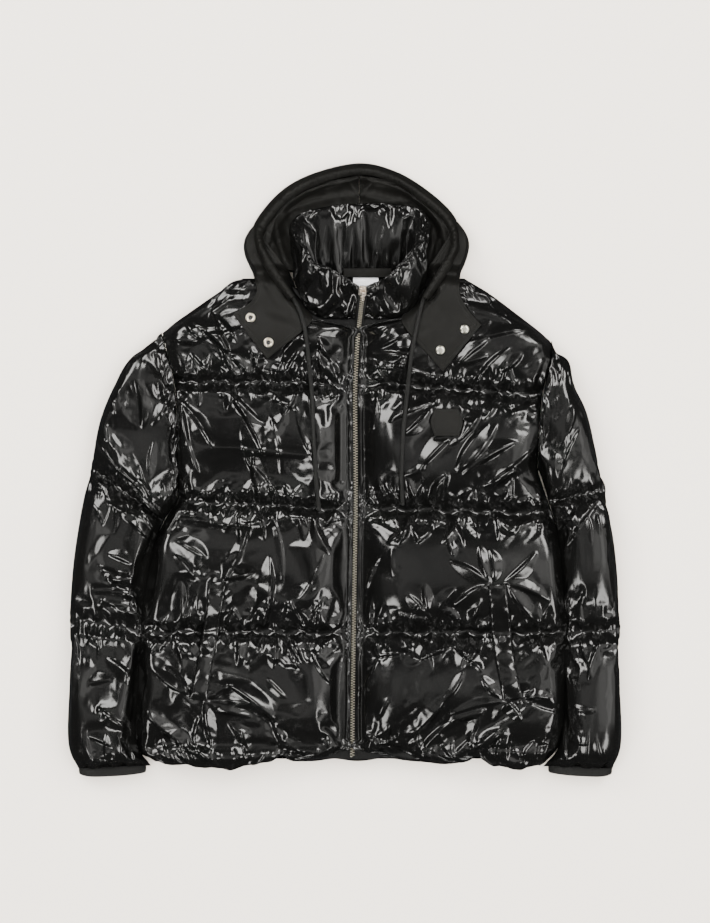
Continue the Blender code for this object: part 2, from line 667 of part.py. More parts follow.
def boolean(target, tool, operation):
    """Join a tool to a solid, or cut it out, with a Boolean, and file the tool as a cutter."""
    cutters = bpy.data.collections.get("cutters") or bpy.data.collections.new("cutters")
    if cutters.name not in bpy.context.scene.collection.children:
        bpy.context.scene.collection.children.link(cutters)
    COLLECTION.objects.unlink(tool)
    cutters.objects.link(tool)
    tool.hide_render = True
    tool.display_type = "WIRE"
    join = target.modifiers.new(operation.lower(), "BOOLEAN")
    join.operation = operation
    join.object = tool


def zip_slider(mat):
    """The slider's body with the bridge that holds the pull tab."""
    body = box("zip_slider", (9.4, 14.5, 3.0), SLIDER_AT, ZIP_SLOPE, mat, bevel=0.9)
    up = Vector((0.0, -math.sin(ZIP_SLOPE), math.cos(ZIP_SLOPE)))
    for side in (-1.0, 1.0):
        at = Vector(HINGE_AT) + Vector((side * 3.4, 0.0, 0.0)) - up * 1.25
        ear = box(f"slider_ear_{'left' if side > 0 else 'right'}", (1.4, 4.0, 4.9), at,
                  ZIP_SLOPE, mat, bevel=0.4)
        boolean(body, ear, "UNION")
    return body


def zip_pull(mat):
    """The pull tab, with its origin on the pin: a barrel and a flat tab with an eye."""
    down = Vector((0.0, -math.cos(ZIP_SLOPE), -math.sin(ZIP_SLOPE)))
    hinge = Vector(HINGE_AT)
    tab = box("zip_pull", (4.8, 13.0, 1.4), (0, 0, 0), 0.0, mat, bevel=0.5)
    tab.data.transform(Matrix.Translation(Vector((0.0, -6.2, 0.0)) * MM))
    tab.location = hinge * MM
    tab.rotation_euler = (ZIP_SLOPE, 0.0, 0.0)
    eye = bpy.data.meshes.new("pull_eye")
    work = bmesh.new()
    bmesh.ops.create_cone(work, cap_ends=True, segments=20, radius1=1.3 * MM,
                          radius2=1.3 * MM, depth=6.0 * MM)
    work.to_mesh(eye)
    work.free()
    cutter = bpy.data.objects.new("pull_eye", eye)
    COLLECTION.objects.link(cutter)
    cutter.location = (hinge + down * 9.6) * MM
    cutter.rotation_euler = (ZIP_SLOPE, 0.0, 0.0)
    boolean(tab, cutter, "DIFFERENCE")
    return tab


# --- assembly ---------------------------------------------------------------------------------
def build():
    """Make every sub-part of the jacket."""
    clear_scene()
    gloss = material("black_gloss_nylon", (0.006, 0.006, 0.006), 0.16)
    matte = material("black_matte_nylon", (0.022, 0.021, 0.019), 0.75)
    rib = material("black_binding", (0.014, 0.014, 0.013), 0.8)
    white = material("white_label", (0.75, 0.75, 0.78), 0.7)
    brass = material("zip_brass", (0.42, 0.35, 0.22), 0.35, 1.0)
    gold = material("snap_gold", (0.85, 0.72, 0.55), 0.2, 1.0)
    nickel = material("snap_nickel", (0.68, 0.66, 0.56), 0.25, 1.0)
    dark = material("snap_black", (0.01, 0.01, 0.01), 0.3)

    slab("back", *back_grid(), gloss)
    front_right = slab("front_right", *front_grid(RIGHT_SIDE, RIGHT_SEAMS, RIGHT_NECK, -1), gloss)
    front_left = slab("front_left", *front_grid(LEFT_SIDE, LEFT_SEAMS, LEFT_NECK, 1), gloss)
    sleeve_halves("right", RIGHT_SLEEVE, RIGHT_SIDE, ARMHOLE_BOTTOM_RIGHT, -1, gloss)
    sleeve_halves("left", LEFT_SLEEVE, LEFT_SIDE, ARMHOLE_BOTTOM_LEFT, 1, gloss)
    cuff("right", rib)
    cuff("left", rib)
    collar = collar_wall(gloss)
    hood_half("hood_right", 0, HOOD_MIDDLE, matte)
    hood_half("hood_left", HOOD_MIDDLE, len(HOOD), matte)
    hood_tunnel(matte)

    fronts = Ground([front_right, front_left])
    flaps = [lay_strip("hood_flap_right", RIGHT_FLAP, fronts, matte, 2.4, 1.0),
             lay_strip("hood_flap_left", LEFT_FLAP, fronts, matte, 2.4, 1.0)]
    welts = [lay_strip("welt_right", RIGHT_WELT, fronts, gloss, 3.0, 0.6, crown=5.0, across=4),
             lay_strip("welt_left", LEFT_WELT, fronts, gloss, 3.0, 0.6, crown=5.0, across=4)]
    patch = ((127, 89, 167, 89), (124, 69, 170, 69), (127, 49, 167, 49))
    patch = lay_strip("chest_patch", patch, fronts, matte, 1.6, 1.2, across=6)
    inside = Ground([collar], ceiling=55.0)
    facing = ((9, 276, 57, 276), (9, 285, 57, 285), (9, 293, 57, 293))
    lay_strip("neck_facing", facing, inside, matte, 1.2, 0.4, steps=2, across=4)
    label = ((12, 268.5, 49, 268.5), (12, 275.4, 49, 275.4))
    lay_strip("neck_label", label, inside, white, 1.0, 0.4, steps=2, across=4)

    on_flaps = Ground(flaps)
    ring = ((7.4, 0.0), (7.4, 1.0), (6.2, 2.4), (4.2, 2.4), (3.0, 1.4), (3.0, 0.0))
    for place, (x, y) in RING_SNAPS.items():
        z = on_flaps.height(x, y, 7.4) + 0.4
        turned(f"snap_ring_{place}", tuple(reversed(ring)), (x, y, z), gold)
    cap = ((0.0, 2.6), (4.0, 2.5), (6.0, 1.8), (6.6, 0.8), (6.4, 0.0), (0.0, 0.0))
    for place, (x, y) in CAP_SNAPS.items():
        z = on_flaps.height(x, y, 6.6) + 0.4
        turned(f"snap_cap_{place}", cap, (x, y, z), nickel)
    on_welts = Ground(welts)
    stud = ((0.0, 2.2), (4.6, 2.0), (6.2, 1.2), (6.4, 0.0), (0.0, 0.0))
    for place, (x, y) in WELT_SNAPS.items():
        z = on_welts.height(x, y, 6.4) + 0.4
        turned(f"welt_snap_{place}", stud, (x, y, z), dark)

    bed = Ground([front_right, front_left] + flaps + [patch])
    cord("drawcord_right", RIGHT_CORD, bed, matte)
    cord("drawcord_left", LEFT_CORD, bed, matte)
    zip_half("zip_right", -1, brass)
    zip_half("zip_left", 1, brass)
    zip_slider(brass)
    zip_pull(brass)


build()
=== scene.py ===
# %% [markdown]
# # Hooded puffer jacket, laid flat on its back
# The jacket is glossy coated nylon quilted over wadding, with a matte hood that buttons on.
# The frame holds its sizes. This script makes what shows: the crinkled padded shell, the thin
# hood cloth, the cords, the zip's teeth, the stitches and every finish.

# %% Load the frame
import math
import bpy
import numpy as np
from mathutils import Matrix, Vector


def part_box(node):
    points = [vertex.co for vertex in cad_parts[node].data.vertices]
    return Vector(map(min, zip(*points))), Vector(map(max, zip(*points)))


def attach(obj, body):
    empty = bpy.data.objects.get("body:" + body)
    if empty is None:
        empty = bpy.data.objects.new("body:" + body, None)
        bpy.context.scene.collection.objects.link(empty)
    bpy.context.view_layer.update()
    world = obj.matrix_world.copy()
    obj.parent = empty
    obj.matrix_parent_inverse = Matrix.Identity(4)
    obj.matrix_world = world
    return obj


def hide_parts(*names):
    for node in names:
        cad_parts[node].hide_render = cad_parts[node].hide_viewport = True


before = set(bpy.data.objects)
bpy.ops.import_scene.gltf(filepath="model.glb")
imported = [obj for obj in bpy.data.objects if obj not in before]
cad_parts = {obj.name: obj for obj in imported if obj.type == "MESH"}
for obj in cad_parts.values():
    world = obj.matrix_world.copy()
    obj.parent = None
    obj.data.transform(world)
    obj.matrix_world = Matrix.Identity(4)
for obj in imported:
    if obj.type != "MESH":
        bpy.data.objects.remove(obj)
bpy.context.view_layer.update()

MM = 0.001

# %% [markdown]
# ## Camera, floor and light
# The jacket lies on the floor, so the camera hangs straight above it with a long lens, and the
# hood points up the picture. Black gloss shows only what it mirrors: small bright boxes give
# the sharp highlights, and wide dim panels give the grey sheen on the broad facets.


# %% Camera and floor
def look_from(obj, place, target):
    """Put an object at a place with its -Z axis at the target."""
    obj.location = place
    obj.rotation_euler = (Vector(target) - Vector(place)).to_track_quat("-Z", "Y").to_euler()
    bpy.context.scene.collection.objects.link(obj)


VIEW_CENTRE = (0.0149, 0.0123)
VIEW_HEIGHT = 1.338                 # metres from the top to the bottom of the picture
CAMERA_UP = 4.5
lens = bpy.data.cameras.new("camera")
lens.lens = lens.sensor_width * CAMERA_UP / VIEW_HEIGHT
lens.clip_end = 50.0
camera = bpy.data.objects.new("camera", lens)
camera.location = (*VIEW_CENTRE, CAMERA_UP + 0.045)
bpy.context.scene.collection.objects.link(camera)
bpy.context.scene.camera = camera

floor_mesh = bpy.data.meshes.new("floor")
reach = 6.0
floor_mesh.from_pydata([(-reach, -reach, 0), (reach, -reach, 0), (reach, reach, 0), (-reach, reach, 0)],
                       [], [(0, 1, 2, 3)])
floor = bpy.data.objects.new("floor", floor_mesh)
bpy.context.scene.collection.objects.link(floor)
floor_paint = bpy.data.materials.new("pale_floor")
floor_paint.use_nodes = True
floor_paint.node_tree.nodes["Principled BSDF"].inputs["Base Color"].default_value = (0.93, 0.86, 0.78, 1)
floor_paint.node_tree.nodes["Principled BSDF"].inputs["Roughness"].default_value = 0.9
floor_paint.node_tree.nodes["Principled BSDF"].inputs["Specular IOR Level"].default_value = 0.1
floor_mesh.materials.append(floor_paint)
floor.visible_glossy = False         # the gloss keeps its dark edges

# %% Lights
LIGHTS = (
    # name, x, y, z, width, height, radiance, mirrored
    ("box_upper_left", -1.6, 1.5, 2.1, 1.7, 1.1, 15.0, True),
    ("box_upper_right", 1.6, 1.4, 2.2, 1.4, 1.0, 15.0, True),
    ("box_lower_left", -1.4, -1.6, 2.0, 0.9, 1.0, 13.0, True),
    ("box_lower_right", 1.8, -1.3, 1.9, 0.9, 0.9, 12.0, True),
    ("panel_right", 2.9, 0.0, 1.4, 1.4, 2.4, 1.2, True),
    ("panel_above_left", -3.2, 0.2, 6.5, 2.8, 7.0, 0.20, True),
    ("panel_above", 0.55, 0.2, 6.6, 4.5, 7.0, 0.38, True),
    ("panel_above_right", 4.2, 0.2, 6.5, 3.0, 7.0, 1.1, True),
    ("room_fill", 0.0, 0.0, 5.0, 6.0, 6.0, 7.4, False),
)
for name, x, y, z, width, height, radiance, mirrored in LIGHTS:
    light = bpy.data.lights.new(name, "AREA")
    light.shape = "RECTANGLE"
    light.size, light.size_y = width, height
    light.energy = radiance * math.pi * width * height
    light.color = (1.0, 0.985, 0.95)
    lamp = bpy.data.objects.new(name, light)
    lamp.visible_glossy = mirrored
    look_from(lamp, (x, y, z), (0.0, 0.0, 0.0))
world = bpy.data.worlds.new("room")
bpy.context.scene.world = world
world.use_nodes = True
world.node_tree.nodes["Background"].inputs["Color"].default_value = (0.08, 0.08, 0.08, 1)
print("lights", len(LIGHTS))

# %% [markdown]
# ## Mesh helpers
# Every cloth piece is a grid of points. A grid is made smooth by putting a new point between
# each pair, read from the cubic curve through the four nearest ones.


# %% Grids
def grid_faces(rows, cols, closed=False, start=0):
    """Quads between neighbours of a grid stored row by row; closed joins the last column to the first."""
    i = np.arange(rows - 1)[:, None]
    j = np.arange(cols if closed else cols - 1)[None, :]
    k = (j + 1) % cols
    quads = np.stack([i * cols + j, i * cols + k, (i + 1) * cols + k, (i + 1) * cols + j], -1)
    return (quads.reshape(-1, 4) + start).tolist()


def rim_of(rows, cols):
    """Point numbers round the border of a grid."""
    ids = np.arange(rows * cols).reshape(rows, cols)
    return np.concatenate([ids[0], ids[1:, -1], ids[-1, -2::-1], ids[-2:0:-1, 0]])


def between(grid, axis, closed=False):
    """Cubic midpoints: (-a + 9b + 9c - d) / 16 between b and c, added along one axis."""
    g = np.moveaxis(grid, axis, 0)
    if closed:
        a, b, c, d = (np.roll(g, k, 0) for k in (1, 0, -1, -2))
    else:
        ends = with_ends(g)
        a, b, c, d = ends[:-3], ends[1:-2], ends[2:-1], ends[3:]
    middle = (9.0 * (b + c) - a - d) / 16.0
    out = np.empty((len(g) + len(middle),) + g.shape[1:])
    out[0::2], out[1::2] = g, middle
    return np.moveaxis(out, 0, axis)


def catmull_rom(a, b, c, d, t):
    """Cubic from b at t = 0 to c at t = 1, whose slopes there are (c - a) / 2 and (d - b) / 2."""
    return 0.5 * (2 * b + (c - a) * t + (2 * a - 5 * b + 4 * c - d) * t ** 2
                  + (3 * b - a - 3 * c + d) * t ** 3)


def with_ends(points):
    """Rows with one more at each end, carried on straight."""
    return np.concatenate([2 * points[:1] - points[1:2], points, 2 * points[-1:] - points[-2:-1]])


def curve_through(points, per_span):
    """Catmull-Rom curve through the rows of a table or of grids, per_span points for each span."""
    p = with_ends(np.asarray(points, float))
    t = np.linspace(0.0, 1.0, per_span, endpoint=False).reshape(1, -1, *[1] * (p.ndim - 1))
    a, b, c, d = (p[k:len(p) - 3 + k][:, None] for k in range(4))
    return np.concatenate([catmull_rom(a, b, c, d, t).reshape(-1, *p.shape[1:]), p[-2:-1]])


def even_points(path, step):
    """Points a step apart along a path."""
    gaps = np.linalg.norm(np.diff(path, axis=0), axis=1)
    length = np.concatenate([[0.0], np.cumsum(gaps)])
    at = np.linspace(0.0, length[-1], max(2, int(round(length[-1] / step)) + 1))
    return np.stack([np.interp(at, length, path[:, k]) for k in range(path.shape[1])], -1)


def smooth_noise(x, y, scale, seed):
    """Soft noise: a sum of eight plane waves with random directions, about one scale long."""
    draw = np.random.default_rng(seed)
    z = np.zeros(np.broadcast(x, y).shape)
    for _ in range(8):
        angle, phase = draw.uniform(0, 2 * math.pi, 2)
        length = scale * draw.uniform(0.7, 1.5)
        z = z + np.sin(2 * math.pi * (x * math.cos(angle) + y * math.sin(angle)) / length + phase)
    return z / 4.0


def make_piece(name, points, faces, finish_used, smooth=True):
    """A mesh object at the origin, with its finish."""
    mesh = bpy.data.meshes.new(name)
    mesh.from_pydata(np.asarray(points).reshape(-1, 3).tolist(), [], faces)
    mesh.update()
    if smooth:
        mesh.shade_smooth()
    mesh.materials.append(finish_used)
    obj = bpy.data.objects.new(name, mesh)
    bpy.context.scene.collection.objects.link(obj)
    return obj


def facing_out(obj):
    """Turn the faces outwards after merging doubled points."""
    import bmesh
    work = bmesh.new()
    work.from_mesh(obj.data)
    bmesh.ops.remove_doubles(work, verts=work.verts, dist=0.00001)
    bmesh.ops.recalc_face_normals(work, faces=work.faces)
    work.to_mesh(obj.data)
    work.free()
    return obj


def jacket_piece(name, points, faces, finish_used, nodes=(), smooth=True):
    """A finished mesh that rides on the jacket and stands for its CAD nodes."""
    obj = facing_out(make_piece(name, points, faces, finish_used, smooth))
    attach(obj, "jacket")
    if nodes:
        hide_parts(*nodes)
    return obj


# %% [markdown]
# ## Finishes
# The shell is nylon with a clear coat: almost black under a sharp mirror-like sheen, with a fine
# crinkle that no mesh could carry. The crinkle and the weaves are node groups, so that each
# finish can use them at its own scale.


# %% Node groups
def node_group(name, inputs, outputs):
    """An empty shader node group with float inputs and outputs."""
    group = bpy.data.node_groups.new(name, "ShaderNodeTree")
    for label, value in inputs:
        socket = group.interface.new_socket(name=label, in_out="INPUT", socket_type="NodeSocketFloat")
        socket.default_value = value
    for label in outputs:
        group.interface.new_socket(name=label, in_out="OUTPUT", socket_type="NodeSocketFloat")
    return group, group.nodes.new("NodeGroupInput"), group.nodes.new("NodeGroupOutput")


def add_node(group, kind, operation=None, **values):
    """A node of one kind, with its operation and the values of its inputs."""
    node = group.nodes.new("ShaderNode" + kind)
    if operation:
        node.operation = operation
    for label, value in values.items():
        node.inputs[label].default_value = value
    return node


def crinkle_group():
    """Fine creases of a stiff film: the ridges between warped cells, plus a soft ripple."""
    group, given, out = node_group("fine_crinkle", [("Scale", 90.0)], ["Height", "Mask"])
    link = group.links.new
    coords = add_node(group, "TexCoord")
    warp = add_node(group, "TexNoise", Scale=25.0)
    mixed = add_node(group, "VectorMath", "MULTIPLY_ADD")
    mixed.inputs[1].default_value = (0.02, 0.02, 0.02)
    cells = add_node(group, "TexVoronoi")
    ripple = add_node(group, "TexNoise", Detail=2.0, Scale=160.0)
    add = add_node(group, "Math", "MULTIPLY_ADD")
    add.inputs[1].default_value = 0.5
    link(coords.outputs["Object"], warp.inputs["Vector"])
    link(warp.outputs["Color"], mixed.inputs[0])
    link(coords.outputs["Object"], mixed.inputs[2])
    link(mixed.outputs["Vector"], cells.inputs["Vector"])
    link(given.outputs["Scale"], cells.inputs["Scale"])
    link(coords.outputs["Object"], ripple.inputs["Vector"])
    link(ripple.outputs["Fac"], add.inputs[0])
    link(cells.outputs["Distance"], add.inputs[2])
    link(add.outputs["Value"], out.inputs["Height"])
    link(warp.outputs["Fac"], out.inputs["Mask"])
    return group


def weave_group():
    """A plain weave: the product of two sine waves of threads, along Object X and Y."""
    group, given, out = node_group("plain_weave", [("Scale", 2200.0)], ["Height", "Mask"])
    link = group.links.new
    coords = add_node(group, "TexCoord")
    split = add_node(group, "SeparateXYZ")
    link(coords.outputs["Object"], split.inputs[0])
    cross = add_node(group, "Math", "MULTIPLY")
    for number, axis in enumerate("XY"):
        scaled = add_node(group, "Math", "MULTIPLY")
        wave = add_node(group, "Math", "SINE")
        link(split.outputs[axis], scaled.inputs[0])
        link(given.outputs["Scale"], scaled.inputs[1])
        link(scaled.outputs["Value"], wave.inputs[0])
        link(wave.outputs["Value"], cross.inputs[number])
    link(cross.outputs["Value"], out.inputs["Height"])
    mottle = add_node(group, "TexNoise", Scale=35.0, Detail=4.0)
    link(coords.outputs["Object"], mottle.inputs["Vector"])
    link(mottle.outputs["Fac"], out.inputs["Mask"])
    return group


CRINKLE = crinkle_group()
WEAVE = weave_group()
print("node groups", CRINKLE.name, WEAVE.name)


# %% Finishes
def finish(name, dark, light, rough, group, scale, bump, depth, metallic=0.0, rough_spread=0.08,
           specular=0.5):
    """A Principled finish whose colour and roughness wander between two values with a mask."""
    mat = bpy.data.materials.new(name)
    mat.use_nodes = True
    nodes, link = mat.node_tree.nodes, mat.node_tree.links.new
    shader = nodes["Principled BSDF"]
    shader.inputs["Metallic"].default_value = metallic
    shader.inputs["Specular IOR Level"].default_value = specular
    pattern = nodes.new("ShaderNodeGroup")
    pattern.node_tree = group
    pattern.inputs["Scale"].default_value = scale
    tint = nodes.new("ShaderNodeMix")
    tint.data_type = "RGBA"
    tint.inputs["A"].default_value = (*dark, 1.0)
    tint.inputs["B"].default_value = (*light, 1.0)
    link(pattern.outputs["Mask"], tint.inputs["Factor"])
    link(tint.outputs["Result"], shader.inputs["Base Color"])
    wander = nodes.new("ShaderNodeMath")
    wander.operation = "MULTIPLY_ADD"
    wander.inputs[1].default_value = rough_spread
    wander.inputs[2].default_value = rough - rough_spread / 2.0
    link(pattern.outputs["Mask"], wander.inputs[0])
    link(wander.outputs["Value"], shader.inputs["Roughness"])
    relief = nodes.new("ShaderNodeBump")
    relief.inputs["Strength"].default_value = bump
    relief.inputs["Distance"].default_value = depth
    link(pattern.outputs["Height"], relief.inputs["Height"])
    link(relief.outputs["Normal"], shader.inputs["Normal"])
    return mat


GLOSS = finish("gloss_nylon", (0.0012, 0.0012, 0.0012), (0.003, 0.003, 0.0028), 0.18, CRINKLE, 110.0,
               0.07, 0.0012, rough_spread=0.10, specular=0.55)
MATTE = finish("matte_nylon", (0.003, 0.003, 0.0027), (0.0065, 0.0063, 0.0057), 0.5, WEAVE, 7000.0,
               0.25, 0.0002, specular=0.12)
BINDING = finish("binding", (0.004, 0.004, 0.004), (0.009, 0.009, 0.0085), 0.75, WEAVE, 4200.0,
                 0.5, 0.0004, specular=0.3)
LABEL = finish("label_cloth", (0.68, 0.68, 0.72), (0.82, 0.82, 0.86), 0.7, WEAVE, 5200.0, 0.3, 0.0002)
BRASS = finish("zip_brass", (0.62, 0.57, 0.46), (0.90, 0.85, 0.71), 0.36, CRINKLE, 900.0, 0.15, 0.0001,
               metallic=1.0)
GOLD = finish("snap_gold", (0.86, 0.76, 0.60), (0.95, 0.88, 0.74), 0.38, CRINKLE, 900.0, 0.05, 0.0001,
              metallic=1.0)
NICKEL = finish("snap_nickel", (0.62, 0.60, 0.50), (0.78, 0.76, 0.66), 0.36, CRINKLE, 900.0, 0.05, 0.0001,
                metallic=1.0)
SLIDER = finish("slider_metal", (0.80, 0.66, 0.54), (0.95, 0.85, 0.74), 0.34, CRINKLE, 420.0, 1.0, 0.0009,
                metallic=1.0)
ENAMEL = finish("snap_black", (0.006, 0.006, 0.006), (0.012, 0.012, 0.012), 0.22, CRINKLE, 600.0,
                0.05, 0.0001)
print("finishes", len(bpy.data.materials))

# %% [markdown]
# ## Padded cloth
# A puffer panel is a flat bag of wadding, sewn down along its quilting seams. The shell is cut
# larger than the seams allow, so it buckles into folds. Each panel therefore starts as its
# smooth puffed form. Blender's cloth simulation grows it by a fixed share, while its seams stay
# pinned, with a little pressure from inside. The long sharp folds are laid on it last, from a
# table, because a stiff glossy film folds into flat facets that a soft simulation rounds off.

# %% Sizes of the padded pieces
STEP = 13.8 * MM                   # distance between the points of the coarsest cloth
FRONT_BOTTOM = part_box("front_right")[0][2]
SEAM_RISE = 8.0 * MM
FRONT_LOFT = 30.0 * MM
PLACKET = 10.0 * MM                # stitched strip beside the zip
SIDE_ROLL = 40.0 * MM
ZIP_ROLL = 60.0 * MM
ZIP_X = 21.0 * MM                  # x of the zip where it meets the collar
NECK_Y = 200.0 * MM                # the collar is sewn on above this height
SHOULDER_Y = 286.0 * MM            # upper end of the fronts
FRONT_TOP = 94.0 * MM
SLEEVE_TOP = 85.0 * MM
SLEEVE_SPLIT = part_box("sleeve_right_under")[1][2]
SLEEVE_LOFT = 27.0 * MM
QUILT = {
    # heights at the zip, then at the side, of: hem, lower, middle and chest seam, top
    "right": ((-420, -236, -58, 124, 330), (-428, -233, -44, 127, 330)),
    "left": ((-420, -236, -56, 128, 330), (-424, -236, -62, 108, 330)),
}
ARMHOLES = {"right": (0.199, -0.042), "left": (0.186, 0.002)}     # shoulder and armpit heights
HEM_NOTCHES = (
    # x, depth, half_width
    (-92, 11, 9), (60, 5, 25), (193, 9, 10), (-15, 4, 20), (-170, -9, 42), (250, -10, 40),
    (145, -4, 25),
)
FOLDS = (
    # x, y, angle, length, height
    # right yoke
    (-181,198,-65,52,8),(-194,195,-41,60,7),(-220,201,-49,28,6),(-173,207,-48,50,6),
    (-231,186,-9,32,6),(-233,157,-66,22,5),(-213,156,-49,28,7),(-149,151,-45,36,7),
    (-124,150,-61,50,7),(-77,181,45,44,6),(-31,176,-63,30,6),(-100,145,-8,28,4),
    # right chest and middle
    (-147,95,-47,72,6),(-138,66,-61,84,7),(-127,-15,-79,68,8),(-116,-15,-51,62,4),
    (-59,50,-71,78,4),(-98,99,-21,62,4),(-228,50,-77,96,8),(-212,68,-55,70,6),
    (-235,37,-87,76,6),(-219,-72,-10,42,6),(-81,-35,-60,26,5),(-65,-76,-75,44,6),
    (-35,-94,-65,54,6),(-153,-79,-85,46,5),(-155,-120,66,82,6),(-94,-112,-81,86,4),
    (-111,-184,84,98,9),(-221,-112,-30,44,7),(-48,-158,60,72,3),
    # right pocket and lower front
    (-161,-138,59,42,7),(-151,-152,12,40,8),(-230,-139,-51,38,6),(-236,-191,85,50,8),
    (-290,-246,-65,22,6),(-275,-254,60,18,6),(-263,-252,55,22,6),(-250,-308,-33,64,6),
    (-240,-300,-50,40,5),(-182,-320,31,42,7),(-134,-333,-39,76,8),(-169,-338,-3,54,7),
    (-160,-352,-8,44,6),(-198,-367,-82,62,7),(-214,-373,76,34,5),(-243,-388,-37,104,8),
    (-152,-384,-53,40,8),(-99,-316,-45,34,5),(-97,-380,-70,34,7),(-33,-288,-58,50,6),
    (-77,-266,-60,38,6),(-61,-270,-67,20,5),
    # left yoke
    (50,227,8,28,5),(46,191,36,42,6),(71,188,25,42,6),(85,177,0,26,7),(70,166,-6,50,6),
    (51,150,-8,46,5),(82,150,20,22,5),(97,144,-20,44,7),(182,170,39,54,8),(183,158,15,44,6),
    (211,151,47,62,9),(242,154,39,34,6),(230,197,12,84,5),(240,222,-33,60,4),
    (120,128,50,20,5),(133,127,52,22,5),(146,126,50,22,5),(160,126,48,24,6),(174,124,50,22,5),
    (187,124,52,26,6),(203,122,48,26,6),(219,121,50,22,5),(243,120,60,22,5),
    # left chest
    (44,79,80,46,6),(98,87,23,62,7),(106,68,45,46,6),(133,29,44,66,8),(176,58,48,58,8),
    (181,35,54,66,9),(193,28,50,76,7),(207,19,32,76,9),(242,4,38,82,7),(231,-11,32,38,7),
    (102,-3,22,28,5),(134,-24,54,42,7),(141,-29,80,44,6),(35,-39,66,26,6),(71,-36,-48,36,7),
    (97,-32,-75,34,6),(226,-36,40,20,5),(240,-42,35,18,4),(258,-46,40,18,4),(172,-34,30,20,4),
    # left middle
    (78,-91,46,36,7),(102,-91,-68,28,6),(117,-92,49,32,6),(163,-88,-67,44,6),(152,-106,-80,32,6),
    (223,-83,-88,32,6),(251,-78,5,34,6),(36,-157,69,62,6),(67,-133,-88,36,4),
    (110,-200,-51,50,7),(120,-195,-75,52,7),(142,-194,57,50,7),(98,-213,-11,42,7),
    (157,-212,-31,32,6),(182,-218,58,34,7),
    # left pocket
    (182,-146,-30,58,7),(200,-137,-73,46,7),(214,-137,-82,38,7),(254,-142,43,54,7),
    (263,-173,-22,56,7),(258,-198,-52,66,8),(183,-178,32,50,8),(210,-315,-48,36,6),
    (176,-269,-42,54,7),(188,-261,-39,34,6),(277,-328,0,34,6),(289,-341,-18,66,-5),
    (244,-346,-49,30,6),(223,-350,61,28,5),(193,-341,13,70,5),
    # left lower front
    (34,-300,58,56,6),(55,-345,65,32,5),(62,-389,82,36,6),(47,-401,-64,30,6),(47,-258,-72,28,6),
    (68,-265,6,26,6),(95,-268,-27,30,7),(133,-263,19,46,7),(121,-359,48,70,8),
    (129,-389,47,68,8),(178,-356,17,44,7),(190,-370,66,46,6),(166,-405,45,40,6),
    (212,-393,45,44,8),(191,-398,34,76,5),(266,-404,56,28,6),(159,-313,57,44,5),(82,-376,70,32,4),
    # right sleeve
    (-264,127,-47,46,6),(-294,96,-86,56,7),(-262,91,59,52,6),(-281,16,83,46,5),(-336,14,-49,80,7),
    (-352,30,-49,70,6),(-288,-48,-48,70,6),(-295,-88,-43,52,5),(-284,-70,-62,52,5),
    (-328,-178,-10,60,6),(-336,-192,-12,42,6),(-325,-127,-22,32,6),(-330,-150,-18,52,6),
    (-320,-163,-14,50,5),(-322,-203,-25,36,5),(-322,-289,-39,48,7),(-367,-242,-55,34,6),
    (-355,-306,11,30,6),(-336,-359,-33,46,7),(-353,-391,-25,34,6),(-355,-427,-31,32,5),
    (-387,-263,-83,44,3),
    # left sleeve
    (329,74,76,38,5),(322,27,67,66,-6),(328,-68,57,60,7),(342,-73,55,80,8),(380,-67,70,32,5),
    (363,-266,69,66,6),(337,-393,-12,26,5),(352,-425,3,50,4),(342,-344,-9,36,4),
    # soft upright folds of the right chest
    (-100,42,-78,88,2.5),(-142,22,-74,66,2.5),
)
SHOULDER_NOTCHES = (
    # x, y, how far the cloth goes outwards in x and y, reach
    (-297, 150, -6, 10, 30), (312, 142, 9, 14, 26),
)


# %% Shapes of a padded panel
def smoothstep(t):
    """Soft step from 0 to 1."""
    t = np.clip(t, 0.0, 1.0)
    return t * t * (3.0 - 2.0 * t)


def roll(distance, width):
    """A padded edge: a quarter ellipse that rises from 0 at the edge to 1 at the width."""
    t = np.clip(distance / width, 0.0, 1.0)
    return np.sqrt(np.clip(1.0 - (1.0 - t) ** 2, 0.0, 1.0))


def puff(s):
    """Wadding between two seams, s running 0 to 1: (1 - (2s - 1) squared) to the power 0.75."""
    return np.clip(1.0 - (2.0 * s - 1.0) ** 2, 0.0, 1.0) ** 0.75


def quilted_rows(seams, step):
    """Row positions that fall on every seam, with each row's share of its baffle and its seam mark."""
    rows, share, mark = [np.array([seams[0]])], [np.zeros(1)], [np.array([True])]
    for low, high in zip(seams, seams[1:]):
        count = max(2, int(round(abs(high - low) / step)))
        t = np.linspace(0.0, 1.0, count + 1)[1:]
        rows.append(low + (high - low) * t)
        share.append(t)
        mark.append(t > 0.999)
    return np.concatenate(rows), np.concatenate(share), np.concatenate(mark)


def outline(node, heights):
    """Lowest and highest x of a CAD node where each height y cuts its edges."""
    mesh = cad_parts[node].data
    co = np.empty(len(mesh.vertices) * 3)
    mesh.vertices.foreach_get("co", co)
    co = co.reshape(-1, 3)
    ends = np.empty(len(mesh.edges) * 2, int)
    mesh.edges.foreach_get("vertices", ends)
    a, b = co[ends[0::2]], co[ends[1::2]]
    y = np.clip(heights, co[:, 1].min() + 0.0002, co[:, 1].max() - 0.0002)[:, None]
    span = b[:, 1] - a[:, 1]
    safe = np.where(np.abs(span) < 1e-9, 1.0, span)
    t = (y - a[:, 1]) / safe
    cut = (t >= 0.0) & (t <= 1.0) & (np.abs(span) > 1e-9)
    x = a[:, 0] + (b[:, 0] - a[:, 0]) * t
    return np.where(cut, x, 9.0).min(1), np.where(cut, x, -9.0).max(1)


